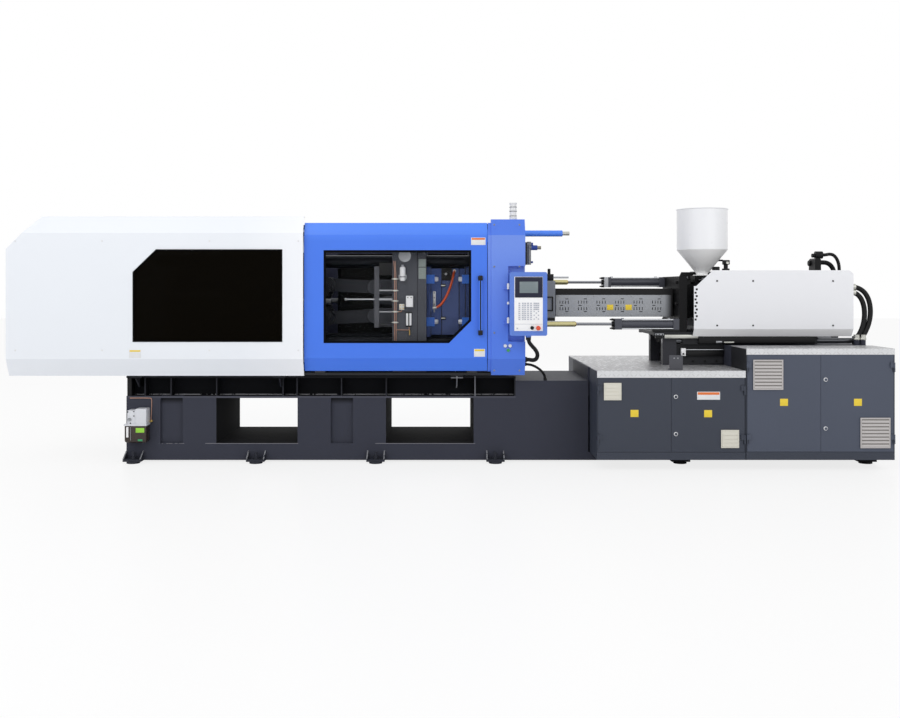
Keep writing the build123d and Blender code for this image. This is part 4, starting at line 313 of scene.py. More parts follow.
def checker_plate(name):
    """Raised lugs that lie crosswise in turn, on bare aluminium with plain folded edges."""
    finish = Finish(name)
    pitch = 0.042
    lug_length, lug_width = 0.5, 0.15
    side_top, front_face = 0.949, -1.0485
    across = finish.x / pitch
    along = (finish.y + finish.z) / pitch
    turn = ((across.floor() + along.floor()) * 0.5).fraction() * 4.0 - 1.0
    local_a = across.fraction() - 0.5
    local_b = along.fraction() - 0.5
    length = (local_a + local_b * turn) * math.sqrt(0.5)
    width = (local_a - local_b * turn) * math.sqrt(0.5)
    lug = (1.0 - (length / lug_length) ** 2 - (width / lug_width) ** 2).clamped()
    lug = (lug * 3.0).clamped()
    grime = finish.noise(9.0, 5.0, 0.6)
    base = finish.mix(grime, srgb(132, 132, 134), srgb(172, 172, 174))
    # Painted highlight: stretched light patches that stand for glints on the plate
    painted_glint = ((finish.noise(26.0, 3.0, 0.6, (1.0, 0.25, 1.0)) - 0.47) * 6.0).clamped()
    base = finish.mix(painted_glint * 0.5, base, srgb(222, 222, 224))
    edge = ((finish.z < side_top) + (finish.y < front_face)).clamped()
    bright = finish.mix(grime, srgb(206, 207, 209), srgb(226, 227, 229))
    finish.feed("Base Color", finish.mix(edge, finish.mix(lug, base, srgb(236, 236, 238)), bright))
    finish.feed("Metallic", (0.6 - 0.3 * lug) * (1.0 - 0.7 * edge))
    finish.feed("Roughness", (0.42 - lug * 0.2 + (grime - 0.5) * 0.2).clamped())
    finish.bump(lug, 0.0016)


def glow(name, colour, strength):
    """A lit display with a faint line pattern."""
    finish = Finish(name, Emission_Strength=strength, Roughness=0.15)
    rows = ((finish.z * 400.0).sine() * 0.5 + 0.5) * 0.12
    tint = finish.mix(rows, colour, shade(colour, 0.6))
    finish.feed("Base Color", tint)
    finish.feed("Emission Color", tint)


# Dark paints and plastics; BLACK also paints shade in the bed's hollows
BLACK = (14, 15, 19)
NEAR_BLACK = (14, 14, 16)
DARK = (16, 16, 18)

# Where the zones of the finishes lie, in metres
BED_X = (-3.3, 0.7145)
BED_FACE = 0.5885
SILL_TOP = 0.6605
CYLINDERS = ((0.330, 1.802), (-0.330, 1.370))
TIE_ROD_OFFSET = 0.045


def bed_recess(f):
    return (f.inside(x=(-2.84, -2.614)) + f.inside(x=(-1.136, -0.911))).clamped()


def bed_front(f, **spans):
    """The outer faces of the bed, inside the range given on each axis."""
    return f.inside(**spans) * (abs(f.y) > BED_FACE)


def bed_sills(f):
    return (f.inside(x=(-2.39, -1.46)) + f.inside(x=(-0.69, 0.31))).clamped()


def bed_zones():
    """Painted shade in the bed's hollows and under the guards, and painted highlights along the edges of its flanges
    and sills.
    """
    channel = (SILL_TOP, 0.87)
    ledge = (SILL_TOP, 0.669)
    lip = (0.1830, 0.1885)
    return (
        # Painted shade: the channel under the guards and the openings below the sill are painted black
        zone(lambda f: f.inside(x=BED_X, z=channel) * (abs(f.y) < BED_FACE), BLACK, 0.8),
        zone(lambda f: (f.z < SILL_TOP) * (abs(f.y) < 0.585) * (1.0 - bed_recess(f)), BLACK, 0.9),
        # Painted shadow: each recess darkens towards its top edge
        zone(lambda f: bed_recess(f) * (abs(f.y) < 0.5575) * ((f.z - 0.575) * 20.0).clamped() * (f.z < 0.641),
             (28, 29, 34), 0.6),
        # Painted shade: the bed's outer faces are darker under the guards' overhang, and darkest just below them
        zone(lambda f: bed_front(f, x=BED_X, z=(SILL_TOP, 0.8395)), (42, 43, 49), 0.5),
        zone(lambda f: f.inside(x=BED_X) * (f.z > 0.8395) * (abs(f.y) > 0.47), (27, 28, 32), 0.5),
        # Painted highlights: lighter lines, some broken up by noise, on the ledge, the flange's top edge, the sills'
        # lips and a few upright edges
        zone(lambda f: f.inside(x=BED_X, z=ledge) * (abs(f.y) < 0.4715) * (f.noise(9.0, 4.0, 0.7) > 0.46),
             (150, 150, 154), 0.45, 0.2),
        zone(lambda f: bed_front(f, x=BED_X, z=(0.641, SILL_TOP)), (74, 75, 85), 0.5),
        zone(lambda f: bed_front(f, z=lip) * bed_sills(f), (126, 126, 132), 0.45, 0.2),
        zone(lambda f: bed_front(f, x=(-2.86, -2.6), z=lip) * (f.noise(30.0, 3.0, 0.6) > 0.48),
             (120, 120, 126), 0.45, 0.2),
        box_zone((118, 119, 124), 0.45, 0.2, x=(0.119, 0.131), z=(0.73, 0.87)),
        zone(lambda f: bed_front(f, x=(0.302, 0.314), z=(0.66, 0.87)), (110, 111, 117), 0.45, 0.2),
        box_zone((140, 140, 146), 0.45, 0.2, x=(0.065, 0.185), z=(0.850, 0.8555)),
    )


def cheek_edges(f):
    """The sloped front edges of the cheeks of the four feet under the clamp bed."""
    feet = (-3.092, -1.872, -0.682, 0.508)
    spans = [(place + side, place + side + 0.012) for place in feet for side in (-0.090, 0.078)]
    mask = sum((f.inside(x=span) for span in spans[1:]), f.inside(x=spans[0]))
    return mask.clamped() * f.inside(z=(0.046, 0.116))


def tie_rods(f):
    """The ends of the tie rods of the pull-in cylinders."""
    side = abs(abs(f.y) - CYLINDERS[0][0])
    masks = [f.near(side, abs(f.z - z), (TIE_ROD_OFFSET, TIE_ROD_OFFSET), 0.0085) for _, z in CYLINDERS]
    return (masks[0] + masks[1]).clamped()


def clamp_levels(f):
    """The heights of the upper and the lower clamps of the mould."""
    return (f.inside(z=(1.784, 1.876)) + f.inside(z=(1.349, 1.441))).clamped()


def mould_joints(f):
    """The dark lines between the plates of the mould."""
    lines = ((-0.030, -0.021), (0.1495, 0.1595), (0.215, 0.223), (-0.139, -0.132))
    mask = sum((f.inside(x=line) for line in lines[1:]), f.inside(x=lines[0]))
    return mask.clamped() * (abs(f.y) > 0.319)


def mould_zones(middle):
    """The mould's middle plates, the lines between its plates, its clamps and their studs."""
    plates = (-0.0965, 0.1815)
    ends = ((-0.0965, -0.058), (0.144, 0.1815))
    return (
        (lambda f: f.inside(x=(-0.021, 0.1495)), middle, 0.38, 0.6),
        zone(mould_joints, (12, 13, 20), 0.5, 0.2),
        zone(lambda f: clamp_levels(f) * (abs(f.y) > 0.3505) * (1.0 - f.inside(x=plates)), (44, 112, 220), 0.4),
        zone(lambda f: clamp_levels(f) * (abs(f.y) > 0.3205) * (f.inside(x=ends[0]) + f.inside(x=ends[1])),
             (228, 229, 232), 0.35, 0.1),
    )


# Modelling with Blender's operators

SMOOTH_ANGLE = math.radians(35)
SIDES = ((-1, "front"), (1, "rear"))
TURNS = {
    "-Y": Matrix.Rotation(math.radians(90), 4, "X"),
    "+Y": Matrix.Rotation(math.radians(-90), 4, "X"),
    "+X": Matrix.Rotation(math.radians(90), 4, "Y"),
    "-X": Matrix.Rotation(math.radians(-90), 4, "Y"),
    "+Z": Matrix.Identity(4),
}


def activate(piece):
    bpy.ops.object.select_all(action="DESELECT")
    bpy.context.view_layer.objects.active = piece
    piece.select_set(True)


def settle(name):
    """Names the active object and puts its place in its mesh."""
    piece = bpy.context.object
    piece.name = name
    piece.data.name = name
    bpy.ops.object.transform_apply(location=True, rotation=True, scale=True)
    return piece


def cube(name, low, high):
    bpy.ops.object.select_all(action="DESELECT")
    low, high = Vector(low), Vector(high)
    bpy.ops.mesh.primitive_cube_add(size=1, location=(low + high) / 2, scale=high - low)
    return settle(name)


def bar(name, start, end, radius, sides=32):
    start, end = Vector(start), Vector(end)
    run = end - start
    bpy.ops.object.select_all(action="DESELECT")
    bpy.ops.mesh.primitive_cylinder_add(
        vertices=sides,
        radius=radius,
        depth=run.length,
        location=(start + end) / 2,
        rotation=run.to_track_quat("Z", "Y").to_euler(),
    )
    return settle(name)


def pick(piece, kind, test):
    """Opens a piece for editing with the faces, edges or vertices that pass a test selected."""
    activate(piece)
    bpy.ops.object.mode_set(mode="EDIT")
    bpy.ops.mesh.select_mode(type=kind)
    bpy.ops.mesh.select_all(action="DESELECT")
    mesh = bmesh.from_edit_mesh(piece.data)
    mesh.faces.ensure_lookup_table()
    for element in {"FACE": mesh.faces, "EDGE": mesh.edges, "VERT": mesh.verts}[kind]:
        if test(element):
            element.select_set(True)
    mesh.select_flush_mode()
    bmesh.update_edit_mesh(piece.data)


def done():
    bpy.ops.object.mode_set(mode="OBJECT")


def facing(direction):
    """A test for faces that look in a direction."""
    return lambda face: face.normal.dot(Vector(direction)) > 0.99


def shift(piece, kind, test, move):
    """Moves the faces, edges or vertices that pass a test."""
    pick(piece, kind, test)
    bpy.ops.transform.translate(value=move)
    done()


def inset_face(piece, direction, margin, rise):
    """Insets the face that looks in a direction and raises the inner one, or sinks it below 0."""
    pick(piece, "FACE", facing(direction))
    bpy.ops.mesh.inset(thickness=margin)
    bpy.ops.transform.translate(value=Vector(direction) * rise)
    done()
    return piece


def round_top(piece, offset, segments):
    """Rounds the edges of the face that looks up."""
    pick(piece, "FACE", facing((0, 0, 1)))
    bpy.ops.mesh.bevel(offset=offset, segments=segments, affect="EDGES")
    done()
    return piece


def round_edges(piece, width, segments=2):
    bevel = piece.modifiers.new("Rounding", "BEVEL")
    bevel.width = width
    bevel.segments = segments
    bevel.limit_method = "ANGLE"
    bevel.angle_limit = SMOOTH_ANGLE
    return apply_modifiers(piece)


def apply_modifiers(piece):
    activate(piece)
    for modifier in list(piece.modifiers):
        bpy.ops.object.modifier_apply(modifier=modifier.name)
    return piece


def moved(piece, matrix):
    """A copy of a piece with its own mesh, at another place."""
    copy = piece.copy()
    copy.data = piece.data.copy()
    bpy.context.scene.collection.objects.link(copy)
    copy.data.transform(matrix)
    return copy


def join(name, pieces):
    bpy.ops.object.select_all(action="DESELECT")
    for piece in pieces:
        piece.select_set(True)
    bpy.context.view_layer.objects.active = pieces[0]
    if len(pieces) > 1:
        bpy.ops.object.join()
    pieces[0].name = name
    pieces[0].data.name = name
    return pieces[0]


def repeat(name, piece, places, way="+Z"):
    """One piece modelled about the origin, copied to each place; way is where its top looks."""
    copies = [moved(piece, Matrix.Translation(place) @ TURNS[way]) for place in places]
    bpy.data.objects.remove(piece)
    return join(name, copies)


def dress(piece, body, finish):
    """Gives a finished piece its finish and its body."""
    activate(piece)
    bpy.ops.object.shade_smooth_by_angle(angle=SMOOTH_ANGLE)
    piece.data.materials.clear()
    piece.data.materials.append(bpy.data.materials[finish])
    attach(piece, body)
    return piece


def bolts(name, places, way, width, body, finish):
    """Hexagon bolts on washers; way is the axis that their heads look along."""
    washer = round_edges(bar("washer", (0, 0, 0), (0, 0, width * 0.12), width * 0.62, 20), width * 0.03)
    head = bar("head", (0, 0, width * 0.12), (0, 0, width * 0.62), width * 0.5, 6)
    bolt = join("bolt", [round_top(head, width * 0.06, 2), washer])
    dress(repeat(name, bolt, places, way), body, finish)


def screws(name, places, way, width, body, finish):
    """Button-head socket screws."""
    head = round_top(bar("head", (0, 0, 0), (0, 0, width * 0.3), width * 0.5, 20), width * 0.12, 3)
    inset_face(head, (0, 0, 1), width * 0.12, -width * 0.2)
    dress(repeat(name, head, places, way), body, finish)


def screws_both_sides(name, places, width, body, finish):
    """Screws in front and, mirrored, behind."""
    screws(name, places, "-Y", width, body, finish)
    screws(f"{name}_rear", [(x, -y, z) for x, y, z in places], "+Y", width, body, finish)


def plate(name, low, high, body, finish, rounding=None):
    """A small plate, box or block with rounded edges."""
    rounding = rounding or bpy.context.scene.machine_details.rim
    return dress(round_edges(cube(name, low, high), rounding), body, finish)


def both_plates(name, x, y, z, body, finish, rounding):
    """A plate in front and its mirror image behind, from its nearest and farthest place on each axis."""
    for out, side in SIDES:
        low, high = sorted((out * y[0], out * y[1]))
        plate(f"{name}_{side}", (x[0], low, z[0]), (x[1], high, z[1]), body, finish, rounding)


def blank_plate(name, strip_name, x, z, face, strip, body, finish):
    """A bare white plate on a panel's front, with a coloured strip near its top."""
    plate(name, (x[0], face - 0.0015, z[0]), (x[1], face + 0.0005, z[1]), body, "white_plastic", 0.0006)
    plate(strip_name, (x[0] + 0.006, face - 0.0022, z[1] - strip), (x[1] - 0.006, face - 0.0012, z[1] - 0.004),
          body, finish, 0.0004)


def bored(piece, bores):
    """Cuts round holes through a piece; each bore is its start, its end and its radius."""
    for start, end, radius in bores:
        cutter = bar("cutter", start, end, radius)
        cut = piece.modifiers.new("Bore", "BOOLEAN")
        cut.operation = "DIFFERENCE"
        cut.solver = "EXACT"
        cut.object = cutter
        apply_modifiers(piece)
        bpy.data.objects.remove(cutter)
    return piece


def capped(name, start, end, radius, lip, sides=24):
    """A bar with a small raised step on both ends."""
    piece = bar(name, start, end, radius, sides)
    way = (Vector(end) - Vector(start)).normalized()
    for side in (-1, 1):
        inset_face(piece, way * side, lip, lip)
    return piece


def rod(name, start, end, radius, lip, body, finish, sides=24):
    """A capped bar with its finish and its body."""
    return dress(capped(name, start, end, radius, lip, sides), body, finish)


def faceted(name, start, end, radius, rounding, sides=6):
    """A bar of few sides with rounded edges, such as a nut."""
    return round_edges(bar(name, start, end, radius, sides), rounding)


def disc(name, place, thickness, radius, margin, rise, sides):
    """A round piece that looks forwards, with its face inset and raised, or sunk below 0."""
    x, y, z = place
    return inset_face(bar(name, place, (x, y - thickness, z), radius, sides), (0, -1, 0), margin, rise)


def frame_strip(name, points, width, y_front, y_back):
    """A flat strip of even width along the inside of an outline, open in the middle."""
    bpy.ops.object.select_all(action="DESELECT")
    bpy.ops.mesh.primitive_circle_add(vertices=len(points), radius=1, fill_type="NGON")
    piece = settle(name)
    for vertex, (x, z) in zip(piece.data.vertices, points):
        vertex.co = (x, y_front, z)
    pick(piece, "FACE", lambda face: True)
    bpy.ops.mesh.inset(thickness=width)
    bpy.ops.mesh.delete(type="FACE")
    bpy.ops.mesh.select_all(action="SELECT")
    bpy.ops.mesh.extrude_region_move(TRANSFORM_OT_translate={"value": (0, y_back - y_front, 0)})
    bpy.ops.mesh.select_all(action="SELECT")
    bpy.ops.mesh.normals_make_consistent(inside=False)
    done()
    return piece


def route(name, points, resolution=10):
    """A smooth open line with the route's points as its control points."""
    line = bpy.data.curves.new(name, "CURVE")
    line.dimensions = "3D"
    spline = line.splines.new("NURBS")
    spline.points.add(len(points) - 1)
    for control, place in zip(spline.points, points):
        control.co = (*place, 1)
    spline.order_u = 3
    spline.use_endpoint_u = True
    line.resolution_u = resolution
    piece = bpy.data.objects.new(name, line)
    bpy.context.scene.collection.objects.link(piece)
    return piece


def thicken(line, radius, resolution):
    """Makes a line round, with closed ends."""
    line.data.bevel_depth = radius
    line.data.bevel_resolution = resolution
    line.data.use_fill_caps = True


def pipe(name, points, radius, body, finish):
    """A thin rigid pipe along a smooth line through its control points."""
    line = route(name, points, 6)
    thicken(line, radius, 2)
    activate(line)
    bpy.ops.object.convert(target="MESH")
    piece = bpy.context.object
    pick(piece, "FACE", lambda face: True)
    bpy.ops.mesh.remove_doubles(threshold=0.00005)
    bpy.ops.mesh.normals_make_consistent(inside=False)
    done()
    dress(piece, body, finish)


# Cords: route points in metres, the same as in the part's source

HOSE_PLANE = -0.405
OUTER_HOSE = [(4.110, 1.752), (4.180, 1.752), (4.246, 1.728), (4.296, 1.680), (4.328, 1.612), (4.342, 1.532),
              (4.340, 1.448), (4.322, 1.366), (4.290, 1.292), (4.264, 1.250), (4.264, 1.215)]
INNER_HOSE = [(4.110, 1.696), (4.166, 1.696), (4.214, 1.674), (4.252, 1.626), (4.276, 1.556), (4.283, 1.474),
              (4.275, 1.390), (4.252, 1.316), (4.224, 1.262), (4.202, 1.240), (4.202, 1.215)]
PANEL_CONDUIT = [(0.817, -0.870, 1.262), (0.817, -0.870, 1.222), (0.846, -0.869, 1.182), (0.886, -0.862, 1.142),
                 (0.912, -0.846, 1.092), (0.900, -0.818, 1.044), (0.868, -0.776, 1.030), (0.832, -0.740, 1.036),
                 (0.795, -0.740, 1.036)]
BED_CONDUIT = [(0.795, -0.680, 0.985), (0.836, -0.680, 0.985), (0.892, -0.672, 0.968), (0.948, -0.652, 0.934),
               (0.990, -0.618, 0.890), (1.010, -0.575, 0.850), (1.010, -0.575, 0.814)]
MOULD_HOSE = [(-0.118, -0.438, 1.540), (-0.078, -0.438, 1.540), (-0.030, -0.446, 1.572), (0.022, -0.446, 1.652),
              (0.062, -0.438, 1.748), (0.084, -0.428, 1.826), (0.098, -0.404, 1.890), (0.106, -0.362, 1.915),
              (0.106, -0.320, 1.915)]


def line_points(piece):
    mesh = bpy.data.meshes.new_from_object(piece)
    places = [vertex.co.copy() for vertex in mesh.vertices]
    bpy.data.meshes.remove(mesh)
    return places


def run_length(places):
    return sum((b - a).length for a, b in zip(places, places[1:]))


def even_points(places, step):
    """Places at an even step along a line, with the line's direction at each."""
    total = run_length(places)
    count = max(2, round(total / step))
    spots, index, passed = [], 0, 0.0
    for number in range(count + 1):
        goal = total * number / count
        while index < len(places) - 2 and passed + (places[index + 1] - places[index]).length < goal:
            passed += (places[index + 1] - places[index]).length
            index += 1
        step_vector = places[index + 1] - places[index]
        share = (goal - passed) / step_vector.length if step_vector.length else 0
        spots.append((places[index] + step_vector * min(1.0, share), step_vector.normalized()))
    return spots


def ring_tube(name, spots, radii, sides):
    """A tube of rings, one at each spot along a line, closed at both ends."""
    mesh = bmesh.new()
    rings = []
    side = None
    for (place, way), radius in zip(spots, radii):
        if side is None:
            side = way.orthogonal().normalized()
        side = (side - way * side.dot(way)).normalized()
        up = way.cross(side)
        turns = (math.tau * number / sides for number in range(sides))
        rings.append([mesh.verts.new(place + (side * math.cos(a) + up * math.sin(a)) * radius) for a in turns])
    for first, second in zip(rings, rings[1:]):
        for number in range(sides):
            after = (number + 1) % sides
            mesh.faces.new((first[number], first[after], second[after], second[number]))
    mesh.faces.new(list(reversed(rings[0])))
    mesh.faces.new(rings[-1])
    data = bpy.data.meshes.new(name)
    mesh.to_mesh(data)
    mesh.free()
    piece = bpy.data.objects.new(name, data)
    bpy.context.scene.collection.objects.link(piece)
    return piece


def ribbed_conduit(name, points, radius, pitch):
    """A corrugated conduit along a route."""
    guide = route(f"{name}_line", points)
    places = line_points(guide)
    bpy.data.objects.remove(guide)
    spots = even_points(places, pitch / 4)
    radii = [radius * (1.0, 0.97, 0.9, 0.97)[number % 4] for number in range(len(spots))]
    return ring_tube(name, spots, radii, 20), places


def bare_hose(name, points, radius):
    """A smooth round hose along a route, as a curve."""
    piece = route(name, points)
    places = line_points(piece)
    thicken(piece, radius, 4)
    return piece, places


def ferrule(name, start, end, radius):
    """A crimped end of a hose with its hexagon nut."""
    start, end = Vector(start), Vector(end)
    shoulder = start.lerp(end, 0.62)
    sleeve = bar(f"{name}_sleeve", start, shoulder, radius, 24)
    inset_face(sleeve, (end - start).normalized(), radius * 0.12, radius * 0.1)
    nut = faceted(f"{name}_nut", shoulder, end, radius * 1.12, radius * 0.06)
    return join(name, [sleeve, nut])


# The operators, one for each piece or group of like pieces

class MachineOperator:
    """What the machine's operators share."""

    bl_options = {"REGISTER", "UNDO"}

    def execute(self, context):
        self.colours = context.scene.machine_colours
        self.details = context.scene.machine_details
        self.studio = context.scene.machine_stage
        self.build()
        return {"FINISHED"}


class MACHINE_OT_stage(MachineOperator, bpy.types.Operator):
    """Sets up the camera, the floor, the even world light and the soft lamps"""

    bl_idname = "machine.stage"
    bl_label = "Stage"

    def build(self):
        scene = bpy.context.scene
        lens = bpy.data.cameras.new("Camera")
        camera = bpy.data.objects.new("Camera", lens)
        scene.collection.objects.link(camera)
        camera.location = (-0.036, -self.studio.distance, self.studio.height)
        camera.rotation_euler = (math.radians(90), 0, 0)
        lens.lens = self.studio.lens
        lens.shift_x = 0.0104
        lens.shift_y = -0.08
        lens.clip_end = 200
        scene.camera = camera
        scene.view_settings.view_transform = "Standard"
        self.light_world(scene)
        self.lay_floor()
        self.hang_lamps(scene)

    def light_world(self, scene):
        world = bpy.data.worlds.new("World")
        world.use_nodes = True
        scene.world = world
        tree = world.node_tree
        plain = tree.nodes["Background"]
        plain.inputs["Color"].default_value = (1, 1, 1, 1)
        plain.inputs["Strength"].default_value = self.studio.world
        white = tree.nodes.new("ShaderNodeBackground")
        white.inputs["Color"].default_value = (1, 1, 1, 1)
        white.inputs["Strength"].default_value = 1.0
        path = tree.nodes.new("ShaderNodeLightPath")
        seen = tree.nodes.new("ShaderNodeMath")
        seen.operation = "MAXIMUM"
        bright = tree.nodes.new("ShaderNodeMath")
        bright.operation = "MAXIMUM"
        blend = tree.nodes.new("ShaderNodeMixShader")
        tree.links.new(path.outputs["Is Camera Ray"], seen.inputs[0])
        tree.links.new(path.outputs["Is Transmission Ray"], seen.inputs[1])
        tree.links.new(seen.outputs[0], bright.inputs[0])
        tree.links.new(path.outputs["Is Glossy Ray"], bright.inputs[1])
        tree.links.new(bright.outputs[0], blend.inputs[0])
        tree.links.new(plain.outputs[0], blend.inputs[1])
        tree.links.new(white.outputs[0], blend.inputs[2])
        tree.links.new(blend.outputs[0], tree.nodes["World Output"].inputs[0])

    def lay_floor(self):
        bpy.ops.object.select_all(action="DESELECT")
        bpy.ops.mesh.primitive_plane_add(size=90, location=(0, 0, 0))
        floor = settle("floor")
        material = Finish("floor_finish", Roughness=0.35, Specular_IOR_Level=0.25)
        cloud = material.noise(0.2, 2.0)
        tint = material.mix(cloud, (0.93, 0.93, 0.935, 1), (0.95, 0.95, 0.955, 1))
        material.feed("Base Color", tint)
        glow_of_white = material.node("ShaderNodeEmission", {}, {"Color": (1, 1, 1, 1), "Strength": 1.0})
        fade = material.node("ShaderNodeMixShader", {}, {})
        output = material.tree.nodes["Material Output"]
        mixer = fade.socket.node
        material.tree.links.new(material.shader.outputs[0], mixer.inputs[1])
        material.tree.links.new(glow_of_white.socket, mixer.inputs[2])
        path = material.node("ShaderNodeLightPath", {}, {}, "Is Camera Ray")
        seen = path * 0.8
        material.tree.links.new(seen.socket, mixer.inputs[0])
        material.tree.links.new(fade.socket, output.inputs["Surface"])
        floor.data.materials.append(material.material)

    def hang_lamps(self, scene):
        lamps = (
            ("key", (-5.0, -9.0, 8.0), 9.0, self.studio.lamp),
            ("fill", (7.0, -9.0, 5.0), 7.0, self.studio.lamp * 0.35),
            ("back", (0.0, 8.0, 8.0), 9.0, self.studio.lamp * 0.4),
        )
        for name, place, size, power in lamps:
            light = bpy.data.lights.new(name, "AREA")
            light.shape = "SQUARE"
            light.size = size
            light.energy = power
            lamp = bpy.data.objects.new(name, light)
            scene.collection.objects.link(lamp)
            lamp.location = place
            lamp.rotation_euler = (Vector((0, 0, 1.2)) - Vector(place)).to_track_quat("-Z", "Y").to_euler()


class MACHINE_OT_hoses(MachineOperator, bpy.types.Operator):
    """Makes the hoses of the injection drive and the mould, and the cable conduits"""

    bl_idname = "machine.hoses"
    bl_label = "Hoses and conduits"

    def build(self):
        for name, points in (("outer_hose", OUTER_HOSE), ("inner_hose", INNER_HOSE)):
            line = [(x, HOSE_PLANE, z) for x, z in points]
            (sx, y, sz), (ex, _, ez) = line[0], line[-1]
            top = (f"{name}_top_end", (sx + 0.075, y, sz), (sx - 0.002, y, sz))
            low = (f"{name}_low_end", (ex, y, ez + 0.05), (ex, y, ez - 0.004))
            hose = bare_hose(name, line, 0.025)
            self.lay(hose, "carriage", "hydraulic_hoses", 0.05, "hose_rubber", (top, low), 0.0305, "zinc")
        top = ("panel_conduit_gland", (0.817, -0.870, 1.235), (0.817, -0.870, 1.268))
        low = ("cover_conduit_gland", (0.815, -0.740, 1.036), (0.797, -0.740, 1.036))
        conduit = ribbed_conduit("panel_conduit", PANEL_CONDUIT, 0.02, 0.009)
        self.lay(conduit, "root", "panel_conduits", 0.04, "hose_rubber", (top, low), 0.025, "hose_rubber")
        top = ("cover_small_gland", (0.815, -0.680, 0.985), (0.797, -0.680, 0.985))
        low = ("bed_conduit_gland", (1.010, -0.575, 0.838), (1.010, -0.575, 0.816))
        conduit = ribbed_conduit("bed_conduit", BED_CONDUIT, 0.013, 0.007)
        self.lay(conduit, "root", "panel_conduits", 0.026, "hose_rubber", (top, low), 0.017, "hose_rubber")
        low = ("mould_hose_low_end", (-0.078, -0.438, 1.540), (-0.117, -0.438, 1.540))
        top = ("mould_hose_top_end", (0.106, -0.352, 1.915), (0.106, -0.322, 1.915))
        hose = bare_hose("mould_hose", MOULD_HOSE, 0.012)
        self.lay(hose, "moving_platen", "mould_hoses", 0.024, "mould_hose", (low, top), 0.0155, "zinc")

    def lay(self, cord, body, node, diameter, finish, ferrules, ferrule_radius, ferrule_finish):
        """Rides a cord and its ends on a body, in place of a node of the CAD."""
        piece, places = cord
        if piece.type == "MESH":
            dress(piece, body, finish)
        else:
            piece.data.materials.append(bpy.data.materials[finish])
            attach(piece, body)
        ends = [dress(ferrule(*spec, ferrule_radius), body, ferrule_finish) for spec in ferrules]
        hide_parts(node)
        run_length(places)


